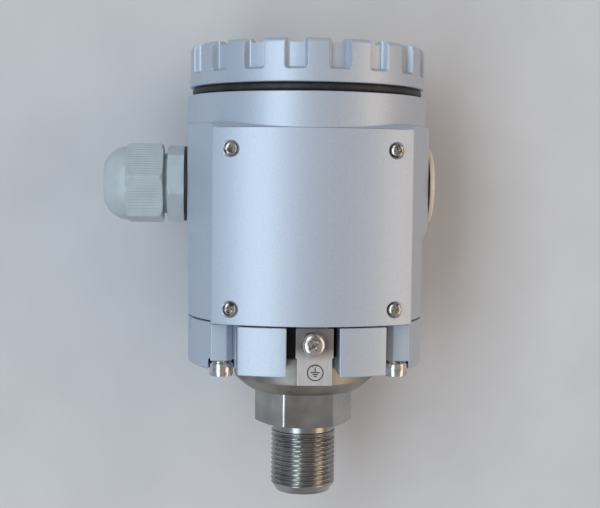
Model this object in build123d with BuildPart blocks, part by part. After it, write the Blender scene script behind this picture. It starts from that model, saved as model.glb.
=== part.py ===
from build123d import *
import math
import os

os.makedirs("parts", exist_ok=True)

# Millimetres. The origin is on the axis, at the shoulder where the hexagon meets the spigot.
# The spigot points down, the front plate faces -Y and the cable gland faces -X.

# Process connector
spigot_r = 10.0
spigot_len = 21.8
spigot_tip_r = 8.6
spigot_tip_len = 2.6
spigot_end_edge = 0.5
neck_r = 9.6
neck_len = 2.7
hex_flats = 26.6
hex_h = 10.6
hex_crown = 1.4
hex_turn = 2.65
hub_rise = 3.8
flange_h = 7.5
register_r = 15.0
register_h = 6.5
pressure_bore_r = 2.0
socket_floor_z = 19.0
retainer_step = 1.0

# Lower ring and its four screws
ring_bottom_z = 19.4
ring_h = 14.1
ring_floor_h = 4.6
ring_floor_w = 14.5
ring_wall = 9.3
ring_edge = 0.4
ring_tab_half = 21.5
slot_half = 7.6
slit_w = 0.7
slit_h = 3.6
slit_angle = 78.5
screw_inset = 3.7
screw_angle = 53.0
screw_r = 2.0
screw_head_r = 3.5
screw_head_h = 4.0
screw_socket_flats = 3.0
screw_socket_h = 2.2
screw_head_edge = 0.4
screw_washer_r = 3.2
screw_washer_h = 1.2
screw_bearing_h = 3.2
screw_bite = 9.0
column_reach = 6.4
column_chamfer = 1.8
groove_w = 1.2
groove_depth = 3.6
slit_in = 1.5

# Housing
drum_r = 36.3
collar_rise = 0.43
collar_h = 8.4
shoulder_h = 1.85
shoulder_reach = 4.9
body_h = 58.7
pad_r = 57.0
pad_inset = 7.1
floor_h = 6.0
chamber_wall = 5.3
mouth_depth = 9.1
mouth_bevel = 0.6
boss_post_r = 4.3
boss_post_h = 5.5

# Side bosses for the two cable entries
entry_below_collar = 18.2
entry_r = 10.0
entry_rise = 0.2
entry_flat_half = 11.6
entry_shoulder_half = 24.5
entry_drop = 16.7
entry_round = 2.0
entry_fade = 2.5

# Front plate and its screws
plate_t = 2.8
plate_gap = 0.1
plate_screw_inset = 5.4
plate_screw_low = 4.9
plate_screw_drop = 6.15
plate_screw_r = 1.2
plate_head_r = 2.05
plate_head_h = 1.7
plate_pocket_r = 2.5
plate_pocket_sink = 0.923
plate_screw_len = 7.0
plate_head_taper = 8

# Screw cover with its grip ribs and seal
cover_inset = 0.26
cover_h = 12.35
cover_rim_rise = 1.2
cover_rim_w = 5.0
cover_top_t = 3.0
cover_edge = 1.6
cover_ribs = 18
rib_turn = 0.9
rib_gap_outer = 6.8
rib_gap_floor = 4.6
rib_depth = 2.2
rib_skirt = 3.5
cover_neck_inset = 4.3
cover_neck_wall = 3.2
cover_neck_len = 10.2
seal_h = 2.6
seal_w = 3.2
seal_round = 1.1

# Cable gland
gland_gasket_t = 1.1
gland_gasket_r = 11.5
gland_flats = 21.4
gland_hex_turn = 11.5
gland_hex_h = 5.1
gland_hex_crown = 0.7
gland_thread_len = 10.2
gland_bore_r = 7.0
gland_neck_r = 9.3
gland_neck_len = 9.5
nut_gap = 1.2
nut_r = 12.45
nut_flats = 23.6
nut_hex_turn = 43.75
nut_len = 18.0
nut_barrel_len = 11.0
nut_mouth_r = 6.3
nut_mouth_t = 2.2
nut_dome_side = 2.3
bush_r = 6.9
bush_bore_r = 4.5
bush_inset = 5.0
bush_seat = 0.4
bush_body_r = 8.5
bush_shoulder_len = 1.6
nut_seat_len = 0.4
nut_seat_slope_len = 1.4

# Blanking plug
plug_gasket_t = 0.6
plug_gasket_r = 11.4
plug_head_r = 11.8
plug_head_h = 1.5
plug_head_round = 0.9
plug_thread_len = 8.4
plug_wall = 2.2
plug_key_half = 6.0
plug_key_w = 2.4
plug_key_h = 0.9

# Ground bracket and its screw
bracket_t = 1.0
bracket_w = 10.8
bracket_tab_w = 10.0
bracket_shift = 0.45
bracket_sink = 0.83
bracket_bend_z = 24.8
bracket_bottom_z = 17.2
bracket_tilt = 8.0
ground_z = 29.0
ground_screw_r = 1.5
ground_head_r = 3.3
ground_head_h = 2.2
ground_head_round = 1.3
ground_washer_r = 3.5
ground_washer_t = 0.6
ground_spring_r = 2.9
ground_spring_t = 0.7
ground_spring_split = 0.6
ground_spring_skew = 20
ground_lug_half = 4.5
ground_lug_t = 5.4
ground_lug_drop = 8.9
ground_bite = 4.2

# Sensor in the connector's socket
sensor_r = 9.45
sensor_h = 6.5
sensor_seal_h = 2.0
sensor_seal_w = 2.4
sensor_seal_round = 0.85
sensor_fit = 0.05
retainer_h = 4.0
retainer_wall = 4.3
retainer_slot_w = 2.0
retainer_slot_h = 1.5
diaphragm_dish = 0.4
header_r = 4.4
header_h = 2.5
pin_r = 0.4
pin_circle_r = 2.6
pin_count = 5
pin_rise = 1.0
pin_hole_r = 0.5

# Electronics
post_inset = 8.0
post_r = 3.0
post_count = 3
post_h = 10.5
board_gap = 4.0
board_t = 1.6
module_wall = 1.6
module_h = 9.0
module_round = 1.5
module_screw_r = 1.5
module_head_r = 2.75
module_head_h = 2.0
module_bite = 6.0
module_slot_w = 0.7
module_slot_h = 0.8
transformer_side = 11.0
transformer_h = 5.6
transformer_place = (-9.5, 0)
capacitor_r = 2.5
capacitor_h = 5.4
capacitor_places = [(9, 8), (15, 3), (9, -9)]
chip_l = 9.0
chip_w = 4.0
chip_h = 1.5
chip_places = [(-2, 12), (0, -15)]

# Terminal block
block_l = 30.0
block_w = 13.0
block_h = 10.0
block_step_w = 4.5
block_step_h = 4.6
block_step_rise = 2.0
terminal_count = 3
terminal_pitch = 9.0
terminal_well_r = 2.6
terminal_head_r = 2.4
terminal_head_h = 2.2
terminal_screw_r = 1.4
terminal_screw_len = 4.0
terminal_sink = 1.0
terminal_slot_w = 0.7
terminal_slot_h = 0.9
wire_hole_r = 1.6
wire_hole_rise = 2.5

# Clearances
thread_fit = 0.05
screw_fit = 0.25
running_gap = 0.3
cut_past = 1.0

# Heights and radii that follow from the sizes above
flange_z = ring_bottom_z + ring_floor_h
flange_top = flange_z + flange_h
register_top = flange_top + register_h
seam_z = ring_bottom_z + ring_h
plate_top_z = seam_z + body_h - shoulder_h
collar_z = seam_z + body_h
entry_z = collar_z - entry_below_collar
mouth_z = collar_z + collar_h
floor_z = seam_z + floor_h
mouth_floor_z = mouth_z - mouth_depth
cover_z = mouth_z + seal_h
cover_top = cover_z + cover_h
cover_face = cover_top - cover_rim_rise
collar_r = drum_r + collar_rise
chamber_r = drum_r - chamber_wall
cover_r = drum_r - cover_inset
cover_neck_r = drum_r - cover_neck_inset
hub_r = drum_r - ring_floor_w
flange_r = drum_r - ring_wall
screw_circle_r = drum_r - screw_inset
pad_half = drum_r - pad_inset
pad_centre_y = pad_r - collar_r
plate_screw_x = pad_half - plate_screw_inset
plate_pocket_y = math.sqrt(pad_r**2 - plate_screw_x**2) - pad_centre_y - plate_pocket_sink
post_circle_r = chamber_r - post_inset
board_r = chamber_r - board_gap
bearing_z = ring_bottom_z + screw_bearing_h
head_top_z = bearing_z - screw_washer_h
head_room = screw_head_r + screw_fit
board_z = floor_z + post_h
module_z = board_z + board_t
block_z = module_z + module_h
socket_r = sensor_r + sensor_fit
capsule_z = socket_floor_z + sensor_seal_h
retainer_z = capsule_z + sensor_h
retainer_r = socket_r + retainer_step
header_top = retainer_z + header_h
hex_corner_r = hex_flats / math.sqrt(3)
gland_corner_r = gland_flats / math.sqrt(3)
entry_face = drum_r + entry_rise
gland_x = entry_face + gland_gasket_t
gland_face_x = gland_x + gland_hex_h
nut_x = gland_face_x + nut_gap
nut_end_x = nut_x + nut_len
plug_x = entry_face + plug_gasket_t
neck_end_x = gland_face_x + gland_neck_len
bush_x = neck_end_x - bush_inset
bush_end_x = nut_end_x - nut_mouth_t
entry_axis = Axis((0, 0, entry_z), (1, 0, 0))
bracket_face_y = collar_r - bracket_sink
ground_seat_y = bracket_face_y - bracket_t


def around(radius, angle):
    """A point on a circle, with the angle counted from the front."""
    turn = math.radians(angle)
    return (radius * math.sin(turn), -radius * math.cos(turn))


ring_screw_places = [around(screw_circle_r, a) for a in
                     (-screw_angle, screw_angle, 180 - screw_angle, 180 + screw_angle)]
front_screw_places = ring_screw_places[:2]
rear_screw_places = ring_screw_places[2:]
screw_front_y = -front_screw_places[1][1]
screw_side_x = front_screw_places[1][0]
column_front_y = screw_front_y + column_reach
post_places = [around(post_circle_r, 180 + 360 / post_count * i) for i in range(post_count)]
plate_screw_places = [(x, z) for x in (-plate_screw_x, plate_screw_x)
                      for z in (seam_z + plate_screw_low, plate_top_z - plate_screw_drop)]

# Housing: a cast pot with a collar, a flattened front and a boss on each side
with BuildPart() as housing:
    with BuildSketch(Plane.XY.offset(seam_z)):
        Circle(drum_r)
    extrude(amount=body_h)
    with BuildSketch(Plane.XY.offset(collar_z)):
        Circle(collar_r)
    extrude(amount=collar_h)
    with BuildSketch(Plane.XY.offset(entry_z - entry_drop)):
        for side in (-1, 1):
            with BuildLine():
                Polyline(
                    (0, -entry_shoulder_half),
                    (side * pad_half, -entry_shoulder_half),
                    (side * entry_face, -entry_flat_half),
                    (side * entry_face, entry_flat_half),
                    (side * pad_half, entry_shoulder_half),
                    (0, entry_shoulder_half),
                    close=True,
                )
            make_face()
    extrude(amount=collar_z - entry_z + entry_drop)
    fillet(
        housing.edges().filter_by(Axis.Z).filter_by(lambda e: abs(abs(e.center().X) - entry_face) < 0.01),
        entry_round,
    )
    # The foot of each boss fades into the drum
    with BuildSketch(Plane.XZ):
        with BuildLine():
            Polyline(
                (drum_r, entry_z - entry_drop),
                (drum_r + entry_fade, entry_z - entry_drop),
                (drum_r + entry_fade, entry_z - entry_drop + 2 * entry_fade),
                close=True,
            )
        make_face()
    revolve(axis=Axis.Z, mode=Mode.SUBTRACT)
    # The flattened front is a shallow arc between two upright sides
    with BuildSketch(Plane.XY.offset(seam_z)):
        with Locations((0, pad_centre_y)):
            Circle(pad_r)
        with Locations((0, -drum_r)):
            Rectangle(2 * pad_half, drum_r, mode=Mode.INTERSECT)
    extrude(amount=body_h)
    # The tops of the pad and of the bosses slope up to the collar
    with BuildSketch(Plane.XZ):
        with BuildLine():
            Polyline(
                (drum_r, collar_z),
                (drum_r + 2 * shoulder_reach, collar_z),
                (drum_r + 2 * shoulder_reach, collar_z - 2 * shoulder_h),
                close=True,
            )
        make_face()
    revolve(axis=Axis.Z, mode=Mode.SUBTRACT)
    # Seat of the front plate
    with BuildSketch(Plane.XY.offset(seam_z)):
        with Locations((0, -drum_r)):
            Rectangle(2 * pad_half, drum_r)
        with Locations((0, pad_centre_y)):
            Circle(pad_r - plate_t, mode=Mode.SUBTRACT)
    extrude(amount=plate_top_z - seam_z, mode=Mode.SUBTRACT)
    # Chamber, mouth for the cover and bore for the connector's register
    with BuildSketch(Plane.XY.offset(floor_z)):
        Circle(chamber_r)
    extrude(amount=mouth_z - floor_z, mode=Mode.SUBTRACT)
    with BuildSketch(Plane.XY.offset(mouth_floor_z)):
        Circle(cover_neck_r + thread_fit)
    extrude(amount=mouth_depth, mode=Mode.SUBTRACT)
    mouth_edges = housing.edges().filter_by(GeomType.CIRCLE).group_by(Axis.Z)[-1]
    chamfer(mouth_edges.sort_by(SortBy.RADIUS)[0], mouth_bevel)
    with BuildSketch(Plane.XY.offset(seam_z)):
        Circle(register_r + thread_fit)
    extrude(amount=floor_h, mode=Mode.SUBTRACT)
    # Posts in the chamber's corner with the holes for the ring's screws
    with BuildSketch(Plane.XY.offset(floor_z)):
        with Locations(*ring_screw_places):
            Circle(boss_post_r)
        Circle(chamber_r + cut_past, mode=Mode.INTERSECT)
    extrude(amount=boss_post_h)
    with Locations(*[Location((x, y, seam_z), (180, 0, 0)) for x, y in ring_screw_places]):
        Hole(screw_r + thread_fit, depth=screw_bite + running_gap)
    # Cable entries and holes for the plate's screws
    with Locations(Location((entry_face, 0, entry_z), (0, 90, 0))):
        Hole(entry_r + thread_fit, depth=gland_thread_len)
    with Locations(Location((-entry_face, 0, entry_z), (0, -90, 0))):
        Hole(entry_r + thread_fit, depth=gland_thread_len)
    with Locations(*[Location((x, -plate_pocket_y, z), (90, 0, 0)) for x, z in plate_screw_places]):
        Hole(plate_screw_r + thread_fit, depth=plate_screw_len + running_gap)
    # Lug under the floor for the ground screw
    with BuildSketch(Plane.XY.offset(seam_z)):
        with Locations((0, -ground_seat_y + ground_lug_t / 2)):
            Rectangle(2 * ground_lug_half, ground_lug_t)
    extrude(amount=-ground_lug_drop)
    with Locations(Location((0, -ground_seat_y, ground_z), (90, 0, 0))):
        Hole(ground_screw_r + thread_fit, depth=ground_bite + running_gap)
housing.part.label = "housing"
export_step(housing.part, "parts/housing.step")

# Screw cover: a dished cap with eighteen grip ribs and a threaded neck
with BuildPart() as top_cover:
    with BuildSketch(Plane.XZ):
        with BuildLine():
            Polyline(
                (0, cover_face),
                (cover_r - cover_rim_w, cover_face),
                (cover_r - cover_rim_w + cover_rim_rise / 2, cover_top),
                (cover_r - cover_edge, cover_top),
                (cover_r, cover_top - cover_edge),
                (cover_r, cover_z),
                (cover_neck_r, cover_z),
                (cover_neck_r, cover_z - cover_neck_len),
                (cover_neck_r - cover_neck_wall, cover_z - cover_neck_len),
                (cover_neck_r - cover_neck_wall, cover_face - cover_top_t),
                (0, cover_face - cover_top_t),
                close=True,
            )
        make_face()
    revolve(axis=Axis.Z)
    with BuildSketch(Plane.XY.offset(cover_z + rib_skirt)):
        with PolarLocations(0, cover_ribs, start_angle=rib_turn):
            Polygon(
                (cover_r - rib_depth, -rib_gap_floor / 2),
                (cover_r + rib_depth, rib_gap_floor / 2 - rib_gap_outer),
                (cover_r + rib_depth, rib_gap_outer - rib_gap_floor / 2),
                (cover_r - rib_depth, rib_gap_floor / 2),
                align=None,
            )
    extrude(amount=cover_h, mode=Mode.SUBTRACT)
    with BuildSketch(Plane.XY.offset(cover_face)):
        with PolarLocations(cover_r - cover_rim_w / 2, cover_ribs, start_angle=rib_turn):
            Rectangle(cover_rim_w + 2, rib_gap_floor)
    extrude(amount=cover_h, mode=Mode.SUBTRACT)
top_cover.part.label = "top_cover"
export_step(top_cover.part, "parts/top_cover.step")

# Seal ring squeezed between the collar and the cover
with BuildPart() as cover_o_ring:
    with BuildSketch(Plane.XZ):
        with Locations((cover_neck_r + thread_fit + seal_w / 2, mouth_z + seal_h / 2)):
            RectangleRounded(seal_w, seal_h, seal_round)
    revolve(axis=Axis.Z)
cover_o_ring.part.label = "cover_o_ring"
export_step(cover_o_ring.part, "parts/cover_o_ring.step")

# Front plate: a curved casting in a seat, with four pockets for its screws
with BuildPart() as front_plate:
    with BuildSketch(Plane.XY.offset(seam_z + plate_gap)):
        with Locations((0, pad_centre_y)):
            Circle(pad_r)
            Circle(pad_r - plate_t, mode=Mode.SUBTRACT)
        with Locations((0, -drum_r)):
            Rectangle(2 * pad_half, drum_r, mode=Mode.INTERSECT)
    extrude(amount=plate_top_z - seam_z - 2 * plate_gap)
    with Locations(*[Location((x, -plate_pocket_y, z), (90, 0, 0)) for x, z in plate_screw_places]):
        Hole(plate_screw_r + screw_fit / 2, depth=plate_screw_len)
    for x, z in plate_screw_places:
        with BuildSketch(Plane((x, -plate_pocket_y, z), x_dir=(1, 0, 0), z_dir=(0, -1, 0))):
            Circle(plate_pocket_r)
        extrude(amount=plate_t, mode=Mode.SUBTRACT)
front_plate.part.label = "front_plate"
export_step(front_plate.part, "parts/front_plate.step")

# Pan head screws of the front plate
with BuildPart() as front_plate_screws:
    for x, z in plate_screw_places:
        with BuildSketch(Plane((x, -plate_pocket_y, z), x_dir=(1, 0, 0), z_dir=(0, -1, 0))):
            Circle(plate_head_r)
        extrude(amount=plate_head_h, taper=plate_head_taper)
        with BuildSketch(Plane((x, -plate_pocket_y, z), x_dir=(1, 0, 0), z_dir=(0, -1, 0))):
            Circle(plate_screw_r)
        extrude(amount=-plate_screw_len)
front_plate_screws.part.label = "front_plate_screws"
export_step(front_plate_screws.part, "parts/front_plate_screws.step")

# Lower ring: clamps the connector's flange and leaves a slot for the ground screw
with BuildPart() as lower_ring:
    with BuildSketch(Plane.XZ):
        with BuildLine():
            Polyline(
                (hub_r + running_gap, ring_bottom_z),
                (drum_r - ring_edge, ring_bottom_z),
                (drum_r, ring_bottom_z + ring_edge),
                (drum_r, seam_z),
                (flange_r + running_gap, seam_z),
                (flange_r + running_gap, flange_z),
                (hub_r + running_gap, flange_z),
                close=True,
            )
        make_face()
    revolve(axis=Axis.Z)
    # Front segments that carry on the flattened front
    with BuildSketch(Plane.XY.offset(ring_bottom_z)):
        with Locations((0, pad_centre_y)):
            Circle(pad_r)
        with Locations((0, -drum_r)):
            Rectangle(2 * ring_tab_half, drum_r, mode=Mode.INTERSECT)
        Circle(drum_r - ring_edge - cut_past, mode=Mode.SUBTRACT)
    extrude(amount=ring_h)
    # Columns over the two front screws carry on the sides of the front pad
    with BuildSketch(Plane.XY.offset(bearing_z)):
        for side in (-1, 1):
            with Locations((side * (ring_tab_half + pad_half) / 2, -(column_front_y + screw_front_y) / 2)):
                Rectangle(pad_half - ring_tab_half, column_reach)
    extrude(amount=seam_z - bearing_z)
    # A groove with one bevelled side parts each column from its segment
    with BuildSketch(Plane.XY.offset(ring_bottom_z)):
        for side in (-1, 1):
            with BuildLine():
                Polyline(
                    (side * ring_tab_half, -pad_r),
                    (side * ring_tab_half, -column_front_y + groove_depth),
                    (side * (ring_tab_half + groove_w), -column_front_y + groove_depth),
                    (side * (ring_tab_half + groove_w), -column_front_y + column_chamfer),
                    (side * (ring_tab_half + groove_w + column_chamfer), -column_front_y),
                    (side * pad_half, -column_front_y),
                    (side * pad_half, -pad_r),
                    close=True,
                )
            make_face()
    extrude(amount=ring_h, mode=Mode.SUBTRACT)
    # Slot for the ground bracket
    with BuildSketch(Plane.XY.offset(ring_bottom_z)):
        with Locations((0, -drum_r)):
            Rectangle(2 * slot_half, drum_r)
    extrude(amount=ring_h, mode=Mode.SUBTRACT)
    # Room for the screw heads, open to the front or to the outside
    with BuildSketch(Plane.XY.offset(ring_bottom_z)):
        with Locations(*ring_screw_places):
            Circle(head_room)
        for side in (-1, 1):
            with Locations((side * (screw_side_x + head_room + ring_tab_half) / 2, -screw_front_y - drum_r / 2)):
                Rectangle(screw_side_x + head_room - ring_tab_half, drum_r)
        for x, y in rear_screw_places:
            with Locations(Location((x, y, 0), (0, 0, math.degrees(math.atan2(y, x))))):
                with Locations((screw_head_r, 0)):
                    Rectangle(2 * screw_head_r, 2 * head_room)
    extrude(amount=screw_bearing_h, mode=Mode.SUBTRACT)
    with Locations(*[Location((x, y, bearing_z), (180, 0, 0)) for x, y in ring_screw_places]):
        Hole(screw_r + screw_fit, depth=ring_h)
    # Narrow prising slits at the sides
    with BuildSketch(Plane.XY.offset(seam_z)):
        for side in (-1, 1):
            x, y = around(drum_r, side * slit_angle)
            with Locations(Location((x, y, 0), (0, 0, math.degrees(math.atan2(y, x))))):
                Rectangle(2 * slit_in, slit_w)
    extrude(amount=-slit_h, mode=Mode.SUBTRACT)
lower_ring.part.label = "lower_ring"
export_step(lower_ring.part, "parts/lower_ring.step")

# Socket head screws from below, with their washers
with BuildPart() as lower_ring_screws:
    with BuildSketch(Plane.XY.offset(head_top_z)):
        with Locations(*ring_screw_places):
            Circle(screw_head_r)
    extrude(amount=-screw_head_h)
    chamfer(lower_ring_screws.edges().filter_by(GeomType.CIRCLE).group_by(Axis.Z)[0], screw_head_edge)
    with BuildSketch(Plane.XY.offset(head_top_z)):
        with Locations(*ring_screw_places):
            Circle(screw_r)
    extrude(amount=seam_z - head_top_z + screw_bite)
    with BuildSketch(Plane.XY.offset(head_top_z - screw_head_h)):
        with Locations(*ring_screw_places):
            RegularPolygon(screw_socket_flats / 2, 6, major_radius=False)
    extrude(amount=screw_socket_h, mode=Mode.SUBTRACT)
lower_ring_screws.part.label = "lower_ring_screws"
export_step(lower_ring_screws.part, "parts/lower_ring_screws.step")

with BuildPart() as lower_ring_washers:
    with BuildSketch(Plane.XY.offset(head_top_z)):
        with Locations(*ring_screw_places):
            Circle(screw_washer_r)
            Circle(screw_r + screw_fit / 2, mode=Mode.SUBTRACT)
    extrude(amount=screw_washer_h)
lower_ring_washers.part.label = "lower_ring_washers"
export_step(lower_ring_washers.part, "parts/lower_ring_washers.step")

# Process connector: turned in one piece, with a hexagon and a socket for the sensor
with BuildPart() as process_connector:
    with BuildSketch():
        RegularPolygon(hex_corner_r, 6, rotation=hex_turn)
    extrude(amount=hex_h + hub_rise)
    with BuildSketch(Plane.XZ):
        with BuildLine():
            Polyline(
                (0, 0),
                (hex_flats / 2, 0),
                (hex_corner_r, hex_crown * (hex_corner_r - hex_flats / 2)),
                (hex_corner_r, hex_h + hub_rise),
                (0, hex_h + hub_rise),
                close=True,
            )
        make_face()
    revolve(axis=Axis.Z, mode=Mode.INTERSECT)
    with BuildSketch(Plane.XZ):
        with BuildLine():
            Polyline(
                (0, -spigot_len),
                (spigot_tip_r - spigot_end_edge, -spigot_len),
                (spigot_tip_r, -spigot_len + spigot_end_edge),
                (spigot_r, -spigot_len + spigot_tip_len),
                (spigot_r, -neck_len),
                (neck_r, -neck_len),
                (neck_r, 0),
                (hex_flats / 2, hex_h),
                (hub_r, hex_h + hub_rise),
                (hub_r, flange_z),
                (flange_r, flange_z),
                (flange_r, flange_top),
                (register_r, flange_top),
                (register_r, register_top),
                (retainer_r, register_top),
                (retainer_r, retainer_z),
                (socket_r, retainer_z),
                (socket_r, socket_floor_z),
                (0, socket_floor_z),
                close=True,
            )
        make_face()
    revolve(axis=Axis.Z)
    with BuildSketch(Plane.XY.offset(-spigot_len)):
        Circle(pressure_bore_r)
    extrude(amount=spigot_len + socket_floor_z, mode=Mode.SUBTRACT)
process_connector.part.label = "process_connector"
export_step(process_connector.part, "parts/process_connector.step")

# Flat gasket between the connector's flange and the housing
with BuildPart() as connector_gasket:
    with BuildSketch(Plane.XY.offset(flange_top)):
        Circle(flange_r)
        Circle(register_r + 2 * running_gap, mode=Mode.SUBTRACT)
    extrude(amount=seam_z - flange_top)
connector_gasket.part.label = "connector_gasket"
export_step(connector_gasket.part, "parts/connector_gasket.step")

# Sensor: seal ring, welded cell with a thin diaphragm, ring that holds it down
with BuildPart() as sensor_o_ring:
    with BuildSketch(Plane.XZ):
        with Locations((socket_r - sensor_fit - sensor_seal_w / 2, socket_floor_z + sensor_seal_h / 2)):
            RectangleRounded(sensor_seal_w, sensor_seal_h, sensor_seal_round)
    revolve(axis=Axis.Z)
sensor_o_ring.part.label = "sensor_o_ring"
export_step(sensor_o_ring.part, "parts/sensor_o_ring.step")

with BuildPart() as sensor_capsule:
    with BuildSketch(Plane.XY.offset(capsule_z)):
        Circle(sensor_r)
    extrude(amount=sensor_h)
    with BuildSketch(Plane.XY.offset(capsule_z)):
        Circle(sensor_r - sensor_seal_w)
    extrude(amount=diaphragm_dish, mode=Mode.SUBTRACT)
sensor_capsule.part.label = "sensor_capsule"
export_step(sensor_capsule.part, "parts/sensor_capsule.step")

with BuildPart() as sensor_retainer:
    with BuildSketch(Plane.XY.offset(retainer_z)):
        Circle(retainer_r - thread_fit)
        Circle(retainer_r - thread_fit - retainer_wall, mode=Mode.SUBTRACT)
    extrude(amount=retainer_h)
    with BuildSketch(Plane.XY.offset(retainer_z + retainer_h)):
        Rectangle(2 * retainer_r, retainer_slot_w)
    extrude(amount=-retainer_slot_h, mode=Mode.SUBTRACT)
sensor_retainer.part.label = "sensor_retainer"
export_step(sensor_retainer.part, "parts/sensor_retainer.step")

# Header on the cell, with its pins up to the board
with BuildPart() as sensor_leads:
    with BuildSketch(Plane.XY.offset(retainer_z)):
        Circle(header_r)
    extrude(amount=header_h)
    with BuildSketch(Plane.XY.offset(header_top)):
        with PolarLocations(pin_circle_r, pin_count):
            Circle(pin_r)
    extrude(amount=module_z + pin_rise - header_top)
sensor_leads.part.label = "sensor_leads"
export_step(sensor_leads.part, "parts/sensor_leads.step")

# Pillars, board and what it carries
with BuildPart() as board_standoffs:
    with BuildSketch(Plane.XY.offset(floor_z)):
        with Locations(*post_places):
            RegularPolygon(post_r, 6, major_radius=False)
            Circle(module_screw_r + thread_fit, mode=Mode.SUBTRACT)
    extrude(amount=post_h)
board_standoffs.part.label = "board_standoffs"
export_step(board_standoffs.part, "parts/board_standoffs.step")

with BuildPart() as circuit_board:
    with BuildSketch(Plane.XY.offset(board_z)):
        Circle(board_r)
        with Locations(*post_places):
            Circle(module_screw_r + screw_fit, mode=Mode.SUBTRACT)
        with PolarLocations(pin_circle_r, pin_count):
            Circle(pin_hole_r, mode=Mode.SUBTRACT)
    extrude(amount=board_t)
circuit_board.part.label = "circuit_board"
export_step(circuit_board.part, "parts/circuit_board.step")

with BuildPart() as board_components:
    with BuildSketch(Plane.XY.offset(module_z)):
        with Locations(transformer_place):
            Rectangle(transformer_side, transformer_side)
    extrude(amount=transformer_h)
    with BuildSketch(Plane.XY.offset(module_z)):
        with Locations(*capacitor_places):
            Circle(capacitor_r)
    extrude(amount=capacitor_h)
    with BuildSketch(Plane.XY.offset(module_z)):
        with Locations(*chip_places):
            Rectangle(chip_l, chip_w)
    extrude(amount=chip_h)
board_components.part.label = "board_components"
export_step(board_components.part, "parts/board_components.step")

# Cup over the board that carries the terminals
with BuildPart() as module_cover:
    with BuildSketch(Plane.XY.offset(module_z)):
        Circle(board_r)
    extrude(amount=module_h)
    fillet(module_cover.edges().group_by(Axis.Z)[-1], module_round)
    with BuildSketch(Plane.XY.offset(module_z)):
        Circle(board_r - module_wall)
        with Locations(*post_places):
            Circle(module_head_r + module_wall, mode=Mode.SUBTRACT)
    extrude(amount=module_h - module_wall, mode=Mode.SUBTRACT)
    with Locations(*[(x, y, block_z) for x, y in post_places]):
        CounterBoreHole(
            module_screw_r + screw_fit, module_head_r + screw_fit, module_head_h + running_gap, depth=module_h
        )
module_cover.part.label = "module_cover"
export_step(module_cover.part, "parts/module_cover.step")

with BuildPart() as module_screws:
    with BuildSketch(Plane.XY.offset(block_z - module_head_h - running_gap)):
        with Locations(*post_places):
            Circle(module_head_r)
    extrude(amount=module_head_h)
    with BuildSketch(Plane.XY.offset(board_z - module_bite)):
        with Locations(*post_places):
            Circle(module_screw_r)
    extrude(amount=block_z - module_head_h - running_gap - board_z + module_bite)
    with BuildSketch(Plane.XY.offset(block_z - running_gap)):
        with Locations(*post_places):
            Rectangle(2 * module_head_r, module_slot_w)
    extrude(amount=-module_slot_h, mode=Mode.SUBTRACT)
module_screws.part.label = "module_screws"
export_step(module_screws.part, "parts/module_screws.step")

# Terminal block with a stepped front, wire holes and screw wells
with BuildPart() as terminal_block:
    with BuildSketch(Plane.YZ.offset(-block_l / 2)):
        with BuildLine():
            Polyline(
                (-block_w / 2, block_z),
                (block_w / 2, block_z),
                (block_w / 2, block_z + block_h),
                (-block_w / 2 + block_step_w, block_z + block_h),
                (-block_w / 2 + block_step_w, block_z + block_h - block_step_h + block_step_rise),
                (-block_w / 2, block_z + block_h - block_step_h),
                close=True,
            )
        make_face()
    extrude(amount=block_l)
    with BuildSketch(Plane.XY.offset(block_z + block_h)):
        with Locations((0, block_step_w / 2)):
            with GridLocations(terminal_pitch, 1, terminal_count, 1):
                Circle(terminal_well_r)
    extrude(amount=-terminal_sink - terminal_head_h, mode=Mode.SUBTRACT)
    with BuildSketch(Plane.XY.offset(block_z + block_h)):
        with Locations((0, block_step_w / 2)):
            with GridLocations(terminal_pitch, 1, terminal_count, 1):
                Circle(terminal_screw_r + thread_fit)
    extrude(amount=-terminal_sink - terminal_head_h - terminal_screw_len - running_gap, mode=Mode.SUBTRACT)
    with BuildSketch(Plane.XZ.offset(block_w / 2)):
        with Locations((0, block_z + wire_hole_rise)):
            with GridLocations(terminal_pitch, 1, terminal_count, 1):
                Circle(wire_hole_r)
    extrude(amount=-block_w / 2, mode=Mode.SUBTRACT)
terminal_block.part.label = "terminal_block"
export_step(terminal_block.part, "parts/terminal_block.step")

with BuildPart() as terminal_screws:
    with BuildSketch(Plane.XY.offset(block_z + block_h - terminal_sink)):
        with Locations((0, block_step_w / 2)):
            with GridLocations(terminal_pitch, 1, terminal_count, 1):
                Circle(terminal_head_r)
    extrude(amount=-terminal_head_h)
    with BuildSketch(Plane.XY.offset(block_z + block_h - terminal_sink)):
        with Locations((0, block_step_w / 2)):
            with GridLocations(terminal_pitch, 1, terminal_count, 1):
                Rectangle(2 * terminal_head_r, terminal_slot_w)
    extrude(amount=-terminal_slot_h, mode=Mode.SUBTRACT)
    with BuildSketch(Plane.XY.offset(block_z + block_h - terminal_sink - terminal_head_h)):
        with Locations((0, block_step_w / 2)):
            with GridLocations(terminal_pitch, 1, terminal_count, 1):
                Circle(terminal_screw_r)
    extrude(amount=-terminal_screw_len)
terminal_screws.part.label = "terminal_screws"
export_step(terminal_screws.part, "parts/terminal_screws.step")

# Cable gland: gasket, body, bush and domed nut, all on the entry's axis
with BuildPart() as gland_gasket:
    with BuildSketch(Plane.YZ.offset(-gland_x)):
        with Locations((0, entry_z)):
            Circle(gland_gasket_r)
            Circle(entry_r + thread_fit, mode=Mode.SUBTRACT)
    extrude(amount=gland_gasket_t)
gland_gasket.part.label = "gland_gasket"
export_step(gland_gasket.part, "parts/gland_gasket.step")

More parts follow.
